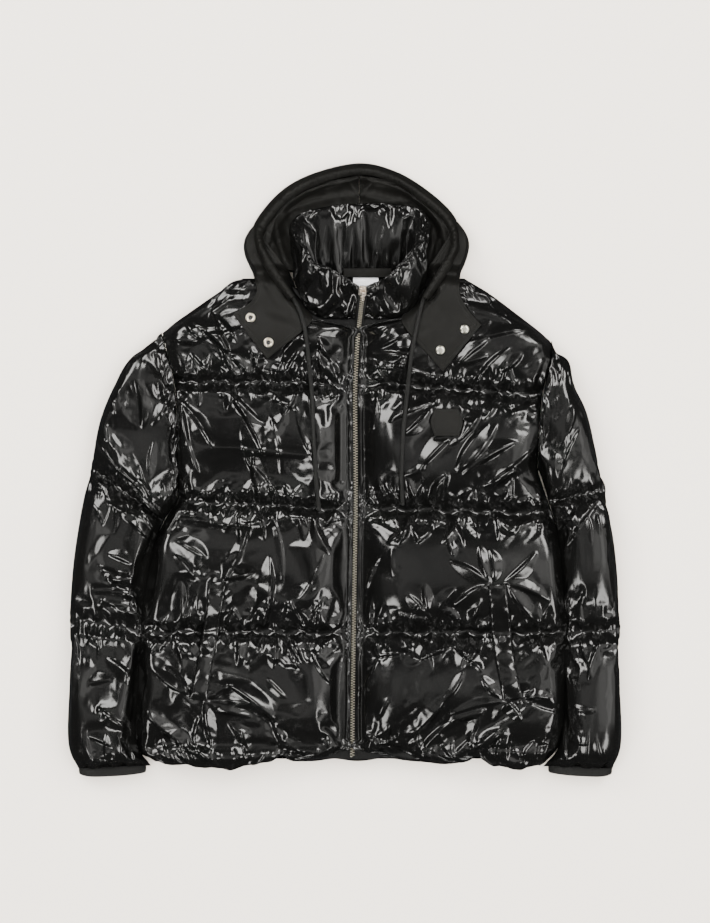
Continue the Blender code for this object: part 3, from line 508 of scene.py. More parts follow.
def bell(x, y, table, crest=2.0):
    """Sum of ridges and troughs, each exp(-|across| to the power crest) and a flat bell along it."""
    z = np.zeros_like(x)
    for fx, fy, angle, length, width, height in table:
        c, s = math.cos(math.radians(angle)), math.sin(math.radians(angle))
        dx, dy = x - fx * MM, y - fy * MM
        across = np.abs(-dx * s + dy * c) / (width * MM)
        along = 2.0 * (dx * c + dy * s) / (length * MM)
        z += height * MM * np.exp(-across ** crest - along ** 4)
    return z


def creases(x, y, table, gentle=0.42, steep=1.25):
    """Sum of folds: h at the crest, less gentle * distance on one side and steep * distance on the other."""
    z = np.zeros_like(x)
    for number, (fx, fy, angle, length, *_, height) in enumerate(table):
        c, s = math.cos(math.radians(angle)), math.sin(math.radians(angle))
        dx, dy = x - fx * MM, y - fy * MM
        t = 2.0 * (dx * c + dy * s) / (1.25 * length * MM)
        h = 0.85 * abs(height) * MM * np.clip(1.0 - t ** 2, 0.0, 1.0) ** 0.75
        bow = 0.07 * length * MM * (t ** 2 - 0.3) * (1 if number % 2 else -1)
        d = (-dx * s + dy * c + bow) * (1 if number % 3 else -1)
        away = np.sqrt(d ** 2 + 0.0012 ** 2) - 0.0012
        v = np.maximum(h - np.where(d > 0.0, gentle, steep) * away, 0.0)
        z += np.sign(height) * v ** 2 / (v + 0.0006)
    return z


def seam_puckers(seed):
    """Short folds that leave the quilting seams every 10 to 20 mm, up and down, leaning at random."""
    draw = np.random.default_rng(seed)
    rows = []
    for side, hand in (("right", -1), ("left", 1)):
        for at_zip, at_side in zip(*QUILT[side]):
            if at_zip > 200:
                continue
            x = 22.0
            while x < 395.0:
                for way in (-1, 1):
                    lean = draw.uniform(-32, 32)
                    length = draw.uniform(18, 46) if draw.uniform() < 0.5 else draw.uniform(10, 20)
                    y = at_zip + (at_side - at_zip) * min(x, 270.0) / 270.0 + way * (4.0 + length * 0.5)
                    height = (0.12 * length + 0.8) * (1.0 if x < 285.0 else 0.6)
                    rows.append((hand * x + 15 * (x < 280), y, 90 + lean, length, height))
                x += draw.uniform(10.0, 20.0)
    return rows


PUCKERS = seam_puckers(5)
print("puckers", len(PUCKERS))


def near_table(x, y, table, margin):
    """Mask of the points inside a strip given by rows of (x, y, x, y), grown by a margin."""
    rows = curve_through(table, 6) * MM
    inside = np.zeros(x.shape, bool)
    for row in rows:
        a, b = row[:2], row[2:]
        along = b - a
        t = np.clip(((x - a[0]) * along[0] + (y - a[1]) * along[1]) / along.dot(along), 0.0, 1.0)
        inside |= np.hypot(x - a[0] - t * along[0], y - a[1] - t * along[1]) < margin
    return inside


# %% [markdown]
# ### Growing the cloth
# `grow_cloth` is the one place where the simulation runs. Shrinking by a negative share makes
# the rest lengths longer than the drawn ones, which is what a maker's extra fullness does.


# %% Cloth simulation
def grow_cloth(points, faces, pinned, grow, fullness=None, pressure=1.0, frames=40, cap=0.03, bend=0.1):
    """Settle a pinned cloth cut larger than its outline by a share, times each point's fullness."""
    flat = points.reshape(-1, 3)
    mesh = bpy.data.meshes.new("cloth_work")
    mesh.from_pydata(flat.tolist(), [], faces)
    obj = bpy.data.objects.new("cloth_work", mesh)
    bpy.context.scene.collection.objects.link(obj)
    group = obj.vertex_groups.new(name="pinned")
    group.add(np.flatnonzero(pinned.ravel()).tolist(), 1.0, "REPLACE")
    cloth = obj.modifiers.new("cloth", "CLOTH")
    rules = cloth.settings
    rules.quality = 5
    rules.mass = 0.1
    rules.tension_stiffness = rules.compression_stiffness = 40.0
    rules.shear_stiffness = 10.0
    rules.bending_stiffness = bend
    rules.tension_damping = rules.compression_damping = rules.shear_damping = 0.5
    rules.bending_damping = 0.25
    rules.air_damping = 1.0
    rules.use_pressure = True
    rules.uniform_pressure_force = pressure
    rules.vertex_group_mass = "pinned"
    rules.shrink_min = -grow
    rules.shrink_max = -grow if fullness is None else 0.0
    if fullness is not None:
        slack = obj.vertex_groups.new(name="slack")
        levels = np.round(np.clip(1.0 - fullness.ravel(), 0.0, 1.0), 1)
        for level in np.unique(levels):
            slack.add(np.flatnonzero(levels == level).tolist(), float(level), "REPLACE")
        rules.vertex_group_shrink = "slack"
    rules.effector_weights.gravity = 0.0
    cloth.collision_settings.use_collision = False
    cloth.point_cache.frame_start = 1
    cloth.point_cache.frame_end = frames
    for step in range(1, frames + 1):
        bpy.context.scene.frame_set(step)
    settled = obj.evaluated_get(bpy.context.evaluated_depsgraph_get()).data
    out = np.empty(len(flat) * 3)
    settled.vertices.foreach_get("co", out)
    bpy.data.objects.remove(obj, do_unlink=True)
    bpy.context.scene.frame_set(1)
    move = out.reshape(-1, 3) - flat
    size = np.linalg.norm(move, axis=1, keepdims=True)
    move *= np.minimum(1.0, cap / np.maximum(size, 1e-9))
    return (flat + move).reshape(points.shape)


def finer_pins(pinned, closed=False):
    """Pins of the finer grid: a new point is pinned if both its neighbours are."""
    out = pinned
    for axis, wrap in ((0, False), (1, closed)):
        p = np.moveaxis(out, axis, 0)
        both = p & np.roll(p, -1, 0)
        both = both if wrap else both[:-1]
        new = np.empty((len(p) + len(both),) + p.shape[1:], bool)
        new[0::2], new[1::2] = p, both
        out = np.moveaxis(new, 0, axis)
    return out


PASSES = (
    # frames, extra fullness at a seam, its reach, height and spacing of the seeded puckers
    (14, 0.04, 16 * MM, 1.0 * MM, 16 * MM), (8, 0.06, 7 * MM, 0.6 * MM, 8 * MM),
)


def finer(grid, closed=False):
    """A grid with new cubic points between its own, along both directions."""
    return between(between(grid, 0), 1, closed)


def settle_cloth(grid, pinned, closed=False, grow=0.006, pressure=2.0, bend=1.5, seed=99):
    """Grow the cloth coarse, then twice finer for the puckers at its seams, and lay the folds on it."""
    grid = grow_cloth(grid, grid_faces(*grid.shape[:2], closed=closed), pinned, grow,
                      pressure=pressure, bend=bend, frames=40)
    spacing = STEP
    for frames, extra, reach, height, scale in PASSES:
        grid, pinned = finer(grid, closed), finer_pins(pinned, closed)
        spacing /= 2.0
        seams = np.flatnonzero(pinned.all(1))
        gap = np.abs(np.arange(len(grid))[:, None] - seams[None, :]).min(1) * spacing
        near = np.exp(-(gap / reach) ** 2)[:, None] * np.ones(grid.shape[:2])
        x, y, z = grid[..., 0], grid[..., 1], grid[..., 2]
        upper = smoothstep((z - 0.036) / 0.012) * ~pinned
        grid[..., 2] += height * smooth_noise(x, y * 0.3, scale, seed) * near * upper
        grid[..., 1] += 0.7 * height * smooth_noise(x, x * 0.0, 2.0 * scale, seed + 1) * near
        grid = grow_cloth(grid, grid_faces(*grid.shape[:2], closed=closed), pinned, extra,
                          fullness=near, frames=frames, bend=0.3, pressure=pressure)
    grid, pinned = finer(grid, closed), finer_pins(pinned, closed)
    x, y, z = grid[..., 0], grid[..., 1], grid[..., 2]
    upper = smoothstep((z - 0.034) / 0.012) * ~pinned
    seams = np.flatnonzero(pinned.all(1))
    gap = np.abs(np.arange(len(grid))[:, None] - seams[None, :]).min(1) * spacing / 2.0
    held = smoothstep(gap / 0.008)[:, None]
    grid[..., 2] += (creases(x, y, FOLDS) + creases(x, y, PUCKERS)) * upper * held
    beside_zip = np.exp(-((np.abs(x - ZIP_X) - 0.012) / 0.006) ** 2)
    grid[..., 2] += 0.0008 * smooth_noise(x * 0.3, y, 0.013, seed + 2) * beside_zip * held
    if closed:
        grid[..., 2] += 0.4 * creases(x, y, FOLDS) * smoothstep((0.012 - z) / 0.006) * held
    for at_x, at_y, to_x, to_y, reach in SHOULDER_NOTCHES:
        near = np.exp(-((x - at_x * MM) ** 2 + (y - at_y * MM) ** 2) / (reach * MM) ** 2)
        grid[..., 0] += near * to_x * MM
        grid[..., 1] += near * to_y * MM
    return grid


# %% [markdown]
# ### Fronts
# A front runs from the zip to the side seam and armhole, and from the hem to the shoulder. Its
# edges are read from the frame. The placket is held flat by a stitched line beside the zip, and
# the cloth is held down where a pocket welt, a hood flap or the patch is sewn over it.

# %% Tables of what lies on the fronts
FLAPS = {
    "right": ((-124, 290, -91, 282), (-126, 262, -88, 243), (-134, 246, -70, 216),
              (-148, 235, -66, 197), (-162, 225, -114, 161)),
    "left": ((163, 286, 133, 280), (165, 258, 130, 243), (174, 235, 108, 216),
             (186, 221, 96, 200), (198, 209, 141, 146)),
}
WELTS = {
    "right": ((-197, -164, -171, -160), (-201, -205, -177, -203), (-207, -240, -183, -238),
              (-216, -290, -192, -288), (-223, -330, -199, -334)),
    "left": ((207, -166, 231, -164), (209, -205, 239, -205), (213, -247, 243, -247),
             (220, -290, 249, -290), (229, -332, 257, -329)),
}
PATCH = ((130, 89, 164, 89), (124, 69, 170, 69), (130, 49, 164, 49))


# %% Fronts
def front_form(side, hand):
    """Smooth puffed form of one front, and its pinned points."""
    zip_y, side_y = (np.array(v) * MM for v in QUILT[side])
    rows, share, seam = quilted_rows(zip_y, STEP)
    keep = rows < SHOULDER_Y
    rows, share, seam = rows[keep], share[keep], seam[keep]
    slant = np.interp(rows, zip_y, side_y - zip_y)
    low, high = outline(f"front_{side}", rows)
    edge_low, edge_high = outline(f"front_{side}", rows + slant)
    centre = high if hand < 0 else low
    edge = edge_low if hand < 0 else edge_high
    count = int(0.27 / STEP)
    width = np.abs(edge - centre)[:, None]
    u = np.linspace(0.0, 1.0, count)[None, :]
    strip = np.array([0.0, 0.45, 1.0])[None, :] * PLACKET
    cols = np.concatenate([strip + 0 * width, PLACKET + (width - PLACKET) * u[:, 1:]], axis=1)
    x = centre[:, None] + hand * cols
    y = rows[:, None] + slant[:, None] * cols / width
    hem_in = np.exp(-(rows - rows[0]) / 0.020)[:, None]
    y += hem_in * sum(d * MM * np.exp(-((x / MM - at) / w) ** 2) for at, d, w in HEM_NOTCHES)
    y[0] += 0.0015 * np.sin(x[0] / 0.006) + 0.002 * smooth_noise(x[0], x[0] * 0, 0.03, 3)
    sides = roll(width - cols, SIDE_ROLL)
    middle = 0.30 + 0.70 * smoothstep((cols - PLACKET) / ZIP_ROLL + 0.15)
    middle = np.where(cols < PLACKET + 0.0001, 0.0, middle)
    neck = smoothstep((rows - NECK_Y) / 0.016)[:, None] * smoothstep((np.abs(x - ZIP_X) - 0.010) / 0.024)
    middle = middle * (1.0 - neck) + 0.72 * neck
    free_hem = roll(rows - rows[0], 0.018)[:, None]
    height = puff(share)[:, None]
    z = FRONT_BOTTOM + SEAM_RISE * (0.35 + 0.65 * sides) * (0.4 + 0.6 * free_hem)
    arm = smoothstep((y - ARMHOLES[side][1]) / 0.06) * smoothstep((ARMHOLES[side][0] - y) / 0.04)
    sides = sides + (1.0 - sides) * 0.72 * arm
    body = sides * middle
    z = z + 0.009 * np.exp(-(rows - rows[0]) / 0.010)[:, None] * body
    z = z + FRONT_LOFT * (0.14 + 0.86 * height) * body
    z = z + 0.0014 * smooth_noise(x, y, 0.080, 11 + hand) * body * height
    z[:, 1] += 0.0022 + 0.0008 * smooth_noise(y[:, 1], y[:, 1] * 0.0, 0.020, 15 + hand)
    z = z + 0.0015 * smooth_noise(x, y * 0.3, 0.018, 21 + hand) * (1 - height) * body
    pinned = np.zeros(x.shape, bool)
    pinned[seam] = True
    pinned[-1] = pinned[:, 0] = pinned[:, -1] = True
    pinned[:, 2] |= (rows < NECK_Y + 0.005) | (np.abs(x[:, 2] - ZIP_X) < 0.022)
    # cloth that is sewn down or covered
    flap = near_table(x, y, FLAPS[side], 0.001)
    welt = near_table(x, y, WELTS[side], 0.002)
    z = np.where(flap, z - 0.0025, z)
    z = np.where(welt, z - 0.006, z)
    pinned |= flap | welt
    if side == "left":
        pinned |= near_table(x, y, PATCH, 0.001)
    free_side = (rows < -0.05)
    z[free_side, -1] -= 0.004
    return np.stack([x, y, z], -1), pinned


def close_below(grid, level):
    """Faces of a grid, a wall down from its border to a level, and one flat face under it."""
    rows, cols = grid.shape[:2]
    rim = rim_of(rows, cols)
    foot = grid.reshape(-1, 3)[rim].copy()
    foot[:, 2] = np.minimum(foot[:, 2] - 0.0004, level)
    start = rows * cols
    k = np.arange(len(rim))
    wall = np.stack([rim, start + k, start + (k + 1) % len(rim), np.roll(rim, -1)], -1)
    faces = grid_faces(rows, cols) + wall.tolist() + [(start + k[::-1]).tolist()]
    return np.concatenate([grid.reshape(-1, 3), foot]), faces


fronts = {}
for side, hand in (("right", -1), ("left", 1)):
    form, pinned = front_form(side, hand)
    form = settle_cloth(form, pinned, seed=99 + hand)
    form[..., 2] = np.clip(form[..., 2], FRONT_BOTTOM + 0.001, FRONT_TOP)
    fronts[side] = form
    print("front", side, form.shape, "top", form[..., 2].max())

# %% [markdown]
# ### Sleeves
# A sleeve is a tube, so its cross-section is one closed loop: along the floor, up round the
# outer edge, over the top, and down to the inner edge. Lines across the sleeve are read from a
# short table, and the armhole is read from the edge of the front. Only the underside is pinned.

# %% Sleeves
SLEEVES = {
    # outer_x, outer_y, inner_x, inner_y of the lines across each sleeve
    "right": ((-323, 139, -250, -52), (-352, 80, -256, -62), (-368, 4, -264, -74),
              (-382, -52, -272, -96), (-395, -138, -284, -150), (-399, -215, -292, -233),
              (-402, -318, -296, -318), (-401, -398, -300, -398), (-386, -436, -283, -430)),
    "left": ((332, 128, 285, -6), (356, 80, 290, -22), (379, -28, 297, -46), (389, -75, 309, -90),
             (397, -150, 312, -150), (400, -233, 317, -236), (402, -318, 316, -318),
             (401, -398, 312, -398), (388, -436, 290, -431)),
}
SLEEVE_QUILTED_ROWS = (0, 3, 6, 9)
SLEEVE_LENGTHS = (0.175, 0.190, 0.205)     # metres of cloth in each baffle, along the middle


def sleeve_form(side, hand):
    """Closed loops along the sleeve: 13 points over the top, then 4 along the floor side."""
    shoulder, armpit = ARMHOLES[side]
    top_cols, under_cols = 13, 4
    u = (1.0 - np.cos(np.linspace(0.0, math.pi, top_cols))) / 2.0
    u = 0.55 * u + 0.45 * np.linspace(0.0, 1.0, top_cols)
    arm_y = shoulder + (armpit - shoulder) * u
    low, high = outline(f"front_{side}", arm_y)
    arm_x = (low if hand < 0 else high) + hand * 0.0008
    sections = [np.stack([arm_x, arm_y], -1)]
    for row in SLEEVES[side]:
        outer, inner = np.array(row[:2]) * MM, np.array(row[2:]) * MM
        sections.append(outer + (inner - outer) * u[:, None])
    sections = np.array(sections)
    stations, share, seam = [np.zeros(1)], [np.zeros(1)], [np.array([True])]
    for (a, b), length in zip(zip(SLEEVE_QUILTED_ROWS, SLEEVE_QUILTED_ROWS[1:]), SLEEVE_LENGTHS):
        t = np.linspace(0.0, 1.0, int(length / STEP) + 1)[1:]
        stations.append(a + (b - a) * t)
        share.append(t)
        seam.append(t > 0.999)
    stations, share, seam = (np.concatenate(v) for v in (stations, share, seam))
    k = np.floor(stations).astype(int).clip(0, len(sections) - 2)
    t = (stations - k)[:, None, None]
    ends = with_ends(sections)
    a, b, c, d = (ends[k + j] for j in range(4))
    flat = catmull_rom(a, b, c, d, t)
    flat = np.where(k[:, None, None] == 0, b + (c - b) * t, flat)
    width = np.linalg.norm(flat[:, -1] - flat[:, 0], axis=1)[:, None]
    along = np.linalg.norm(flat - flat[:, :1], axis=2)
    edge = roll(np.minimum(along, width - along), np.minimum(0.034, 0.45 * width))
    seam_in = np.exp(-(np.arange(len(flat))[:, None] / 1.6) ** 2)
    cap = np.sqrt(np.sin(math.pi * np.clip(u, 0.0, 1.0)))[None, :]
    edge = edge * (1.0 - seam_in) + cap * seam_in
    cuff_in = np.exp(-((np.arange(len(flat)) - len(flat) + 1)[:, None] / 1.2) ** 2)
    height = puff(share)[:, None]
    top = SLEEVE_SPLIT + 0.003 + edge * (0.009 + 0.012 * seam_in + SLEEVE_LOFT * (0.14 + 0.86 * height))
    top = top * (1 - 0.25 * cuff_in)
    x, y = flat[..., 0], flat[..., 1]
    top = top + 0.0014 * smooth_noise(x, y, 0.080, 31 + hand) * edge * height
    upper = np.stack([x, y, top], -1)
    v = np.linspace(1.0, 0.0, under_cols + 2)[None, 1:-1, None]
    under = flat[:, :1] + (flat[:, -1:] - flat[:, :1]) * v
    under_edge = roll(np.minimum(v, 1 - v)[..., 0] * width, np.minimum(0.042, 0.45 * width))
    low = SLEEVE_SPLIT * (1.0 - under_edge) + 0.003 * (1.0 - np.sqrt(height))
    under = np.concatenate([under, low[..., None]], -1)
    loops = np.concatenate([upper, under], axis=1)
    pinned = np.zeros(loops.shape[:2], bool)
    pinned[seam] = True
    pinned[-1] = True
    pinned[:, top_cols:-1] = True
    pinned[:, top_cols - 1] = True
    return loops, pinned


def cap_ends(rows, cols):
    """Quads of a tube of closed loops, and one face over each end."""
    faces = grid_faces(rows, cols, closed=True)
    return faces + [list(range(cols - 1, -1, -1)), list(range((rows - 1) * cols, rows * cols))]


sleeves = {}
for side, hand in (("right", -1), ("left", 1)):
    loops, pinned = sleeve_form(side, hand)
    loops = settle_cloth(loops, pinned, closed=True, seed=199 + hand)
    loops[..., 2] = np.clip(loops[..., 2], 0.0, SLEEVE_TOP)
    sleeves[side] = loops
    print("sleeve", side, loops.shape, "top", loops[..., 2].max())

# %% [markdown]
# ### Collar
# The collar is a padded wall carried round the neck. Its section is a rounded loop about the
# line from the neck seam to the rim. Both of those lines are stitched, so both are pinned, and
# the cloth between them buckles into the short deep puckers of a stuffed collar.

# %% Collar
COLLAR = (
    # base_x, base_y, base_z, rim_x, rim_y, rim_z, half_thickness
    (16.6, 220, 48, 20.6, 265, 82, 5), (-8, 221, 47, -10, 283, 85, 8),
    (-40, 225, 46, -46, 303, 84, 11), (-60, 245, 43, -67, 334, 70, 11),
    (-60, 274, 30, -71, 366, 42, 10), (-30, 274, 25, -24, 381, 32, 9),
    (24, 274, 24, 26, 386, 30, 9), (78, 274, 25, 84, 383, 32, 9),
    (106, 274, 30, 116, 370, 42, 10), (105, 247, 43, 114, 338, 70, 11),
    (84, 227, 46, 93, 310, 84, 11), (58, 221, 47, 61, 278, 85, 8),
    (28.2, 220, 48, 32.2, 265, 82, 5),
)


def collar_form():
    """Rounded sections carried along the collar, an even step apart."""
    rows = even_points(curve_through(COLLAR, 12) * MM, 8.0 * MM)
    base, rim, half = rows[:, :3], rows[:, 3:6], rows[:, 6] * 0.72
    axis = rim - base
    tangent = np.gradient((base + rim) / 2.0, axis=0)
    outward = np.cross(tangent, axis)
    outward /= np.linalg.norm(outward, axis=1)[:, None]
    around = 24
    angle = np.linspace(0.0, 2.0 * math.pi, around, endpoint=False)
    c = np.sign(np.cos(angle)) * np.abs(np.cos(angle)) ** 0.85
    s = np.sign(np.sin(angle)) * np.abs(np.sin(angle)) ** 0.75
    loops = (((base + rim) / 2.0)[:, None] + axis[:, None] * 0.5 * c[None, :, None]
             + outward[:, None] * (half[:, None] * s[None, :])[..., None])
    t = np.arange(len(rows))[:, None]
    ripple = 0.0016 * smooth_noise(t * 0.008, angle[None, :] * 0.02, 0.030, 5)
    loops = loops + outward[:, None] * (ripple * np.abs(s)[None, :])[..., None]
    rim_wave = 0.0015 * np.sin(t[:, 0] * 0.9) + 0.001 * np.sin(t[:, 0] * 0.41 + 1.0)
    loops[:, 0, 2] += rim_wave
    pinned = np.zeros(loops.shape[:2], bool)
    pinned[:, [0, around // 2]] = True
    pinned[[0, -1]] = True
    return loops, pinned


collar, pinned = collar_form()
collar = grow_cloth(collar, grid_faces(*collar.shape[:2], closed=True), pinned, grow=0.02,
                    cap=0.005, bend=0.5)
collar, pinned = finer(collar, closed=True), finer_pins(pinned, closed=True)
collar = grow_cloth(collar, grid_faces(*collar.shape[:2], closed=True), pinned, grow=0.06,
                    cap=0.005, bend=0.2, frames=15)
print("collar", collar.shape, "top", collar[..., 2].max())

# %% [markdown]
# ## Laying pieces on the padded shell
# Flaps, patch, welts and cords rest on the fronts. A height map of the settled cloth tells each
# of them how high it lies. A stiff flap bridges the hollows, so it reads a map that has been
# spread and smoothed. The cloth under it is pressed down afterwards, as the real flap does.

# %% Height map
CELL = 1.5 * MM
MAP_HALF = 0.48


def height_map(clouds):
    """Highest z of dense points in each cell; empty cells take their highest neighbour."""
    points = np.concatenate([cloud.reshape(-1, 3) for cloud in clouds])
    size = int(2 * MAP_HALF / CELL)
    z = np.zeros((size, size))
    at = ((points[:, :2] + MAP_HALF) / CELL).astype(int).clip(0, size - 1)
    np.maximum.at(z, (at[:, 0], at[:, 1]), points[:, 2])
    for _ in range(3):
        near = np.max([np.roll(z, s, a) for a in (0, 1) for s in (-1, 1)], axis=0)
        z = np.where(z > 0, z, near)
    return z


def spread(z, cells):
    """Highest value within a few cells."""
    for _ in range(cells):
        z = np.maximum(z, np.max([np.roll(z, s, a) for a in (0, 1) for s in (-1, 1)], axis=0))
    return z


def smoothed(z, times):
    """Repeated averages over each cell and its neighbours."""
    for _ in range(times):
        z = (2 * z + np.roll(z, 1, 0) + np.roll(z, -1, 0)) / 4.0
        z = (2 * z + np.roll(z, 1, 1) + np.roll(z, -1, 1)) / 4.0
    return z


def read_map(z, x, y):
    """Value of a map at points, straight between its cells."""
    u, v = (x + MAP_HALF) / CELL - 0.5, (y + MAP_HALF) / CELL - 0.5
    i, j = np.floor(u).astype(int), np.floor(v).astype(int)
    i, j = i.clip(0, len(z) - 2), j.clip(0, len(z) - 2)
    a, b = u - i, v - j
    return ((z[i, j] * (1 - a) + z[i + 1, j] * a) * (1 - b)
            + (z[i, j + 1] * (1 - a) + z[i + 1, j + 1] * a) * b)


front_map = height_map([finer(fronts[side]) for side in fronts])
calm_map = smoothed(spread(front_map, 3), 60)
print("front map top", front_map.max())


# %% Strips and slabs
def strip(table, along, across):
    """A grid from rows of (x, y, x, y): smooth along the table and straight across each row."""
    rows = even_points(curve_through(table, 14) * MM, along)
    u = np.linspace(0.0, 1.0, across)[None, :, None]
    half = rows.shape[1] // 2
    return rows[:, None, :half] + (rows[:, None, half:] - rows[:, None, :half]) * u


def slab_between(top, bottom):
    """Points and faces of a closed piece between two grids with the same layout."""
    rows, cols = top.shape[:2]
    count = rows * cols
    rim = rim_of(rows, cols)
    wall = np.stack([rim, np.roll(rim, -1), np.roll(rim, -1) + count, rim + count], -1)
    faces = grid_faces(rows, cols) + grid_faces(rows, cols, start=count) + wall.tolist()
    return np.concatenate([top.reshape(-1, 3), bottom.reshape(-1, 3)]), faces


def grid_normals(grid):
    """Unit normals of a grid, upward at its middle."""
    n = np.cross(np.gradient(grid, axis=0), np.gradient(grid, axis=1))
    n /= np.maximum(np.linalg.norm(n, axis=-1, keepdims=True), 1e-9)
    return n if n[len(n) // 2, 1, 2] > 0 else -n


def edge_distance(grid):
    """Distance of each grid point to the nearest of its four borders, along the grid's lines."""
    rows = np.linalg.norm(np.diff(grid, axis=0, prepend=grid[:1]), axis=-1)
    cols = np.linalg.norm(np.diff(grid, axis=1, prepend=grid[:, :1]), axis=-1)
    down, across = np.cumsum(rows, 0), np.cumsum(cols, 1)
    return np.min([down, down[-1:] - down, across, across[:, -1:] - across], axis=0)


def grid_area(grid):
    """Area of a grid in square metres, from its quads' diagonals."""
    a = grid[1:, 1:] - grid[:-1, :-1]
    b = grid[1:, :-1] - grid[:-1, 1:]
    return float(np.linalg.norm(np.cross(a, b), axis=-1).sum() / 2.0)


# %% [markdown]
# ### Hood flaps and patch
# The hood buttons on by two flaps of doubled matte cloth. They carry on from the sides of the
# hood, lie over the shoulders, and are topstitched 5 mm inside their edges. The patch on the
# chest is the same cloth, sewn on flat, and is left plain.

# %% Flaps
FLAP_FORMS = {
    # outer_x, outer_y, outer_z, inner_x, inner_y, inner_z
    "right": ((-133, 357, 28, -126, 352, 34), (-144, 343, 34, -118, 336, 42),
              (-148, 328, 40, -104, 318, 50), (-146, 313, 46, -94, 304, 54),
              (-140, 299, 52, -88, 296, 56), (-134, 286, 57, -80, 286, 56),
              (-127, 262, 62, -68, 259, 60), (-133, 246, 62, -57, 236, 60),
              (-147, 235, 60, -50, 212, 58), (-162, 226, 60, -112, 160, 60)),
    "left": ((165, 362, 28, 157, 356, 34), (177, 347, 34, 151, 340, 42),
             (182, 331, 40, 139, 320, 50), (180, 315, 46, 130, 306, 54),
             (175, 300, 52, 124, 298, 56), (169, 286, 57, 117, 286, 56),
             (166, 262, 62, 108, 259, 60), (171, 244, 62, 96, 236, 60),
             (182, 227, 60, 84, 211, 58), (197, 210, 60, 142, 142, 60)),
}
FLAP_CREASES = (
    (-110, 262, -60, 60, 5, 2.0), (-96, 215, -25, 70, 8, 1.6), (-140, 215, -55, 40, 6, 1.0),
    (-84, 240, -62, 50, 4, -1.6), (140, 262, 60, 60, 5, 2.0), (122, 205, 35, 70, 8, 1.6),
    (165, 196, 50, 40, 6, 1.0), (116, 240, 62, 50, 4, -1.6), (-120, 290, -70, 50, 4, 2.4),
    (-108, 296, -66, 50, 3, -1.5), (150, 292, 72, 50, 4, 2.4), (138, 296, 68, 50, 3, -1.5),
)
CLOTH = 1.6 * MM


flaps = {}
for side, table in FLAP_FORMS.items():
    flap = strip(table, 2.0 * MM, 60)
    flat_z = read_map(calm_map, flap[..., 0], flap[..., 1]) + 0.0018
    lies = smoothstep((0.300 - flap[..., 1]) / 0.030)
    flap[..., 2] = flat_z * lies + flap[..., 2] * (1 - lies)
    inset = edge_distance(flap)
    u = np.linspace(0.0, 1.0, flap.shape[1])[None, :]
    turned_down = smoothstep((0.14 - u) / 0.14) ** 2 * (1 - lies)
    flap[..., 2] = flap[..., 2] * (1 - turned_down) + 0.004 * turned_down
    flap[..., 2] += bell(flap[..., 0], flap[..., 1], FLAP_CREASES)
    flap[..., 2] += 0.0007 * smooth_noise(flap[..., 0], flap[..., 1], 0.035, 41)
    flap[..., 2] -= 0.0006 * np.exp(-((inset - 0.005) / 0.0009) ** 2)
    flaps[side] = flap
    print("flap", side, flap.shape, "area", grid_area(flap))

patch = strip(PATCH, 1.6 * MM, 30)
patch = np.concatenate([patch, (read_map(calm_map, patch[..., 0], patch[..., 1]))[..., None]], -1)
patch[..., 2] -= 0.0005 * np.exp(-((edge_distance(patch) - 0.003) / 0.0008) ** 2)
patch[..., 2] += 0.0010


# %% Press the cloth
def press_under(grid, cover, gap):
    """Lower a grid's points to a gap under a covering grid, softly outside its border."""
    cap_map = height_map([finer(cover)])
    inside = cap_map > 0
    level = np.where(inside, cap_map, 0.0)
    weight = smoothed(inside.astype(float), 3)
    total = smoothed(level, 3)
    lid = np.where(weight > 0.02, total / np.maximum(weight, 0.02), 1.0)
    x, y, z = grid[..., 0], grid[..., 1], grid[..., 2]
    share = read_map(weight, x, y)
    top = read_map(lid, x, y) - gap + 0.03 * (1.0 - np.minimum(1.0, share * 1.6)) ** 2
    grid[..., 2] = np.where(share > 0.02, np.minimum(z, top), z)
    return grid


for side in fronts:
    for cover in (*flaps.values(), patch):
        press_under(fronts[side], cover, 0.0022)

# %% [markdown]
# ### Drawcords
# The two free ends of the hood's drawcord leave the lower ends of the tunnel, cross the flaps
# and lie down the fronts. The cord is 6 mm braided tube, cut off bare. It presses into the
# padding a little, so the cloth is lowered along its route.

# %% Drawcords
CORD_ROUTES = {
    "right": ((-83, 260), (-76, 250), (-66, 232), (-58, 206), (-53, 170), (-49, 128), (-46, 92),
              (-45, 55), (-43, 20), (-41, -14), (-37, -59)),
    "left": ((123, 259), (115, 249), (108, 226), (101, 192), (96.5, 168), (92.5, 132), (88.5, 95),
             (85, 60), (83, 25), (82, -14), (84, -51)),
}
CORD_RADIUS = 3.0 * MM
under_cords = height_map([finer(fronts[side]) for side in fronts]
                         + [finer(flap) for flap in flaps.values()] + [finer(patch)])
bed = smoothed(spread(under_cords, 1), 14)
cord_paths = {}
for side, table in CORD_ROUTES.items():
    path = even_points(curve_through(table, 16) * MM, 2.0 * MM)
    z = read_map(bed, path[:, 0], path[:, 1]) + CORD_RADIUS * 0.7
    for _ in range(10):
        z = np.convolve(np.pad(z, 2, "edge"), np.ones(5) / 5.0, "valid")
    cord_paths[side] = np.column_stack([path, z])
    length = np.linalg.norm(np.diff(cord_paths[side], axis=0), axis=1).sum()
    print("cord", side, "length", round(float(length), 4), "z", z.min(), z.max())


def press_line(grid, path, radius):
    """Lower a grid's points so that a round cord on a path lies in a shallow groove."""
    flat = grid.reshape(-1, 3)
    gap = np.linalg.norm(flat[:, None, :2] - path[None, :, :2], axis=2)
    nearest = gap.argmin(1)
    d = gap[np.arange(len(flat)), nearest]
    level = path[nearest, 2] - radius * 0.75 + 0.9 * np.maximum(d - radius * 0.8, 0.0)
    flat[:, 2] = np.where(d < 0.02, np.minimum(flat[:, 2], level), flat[:, 2])
    return flat.reshape(grid.shape)


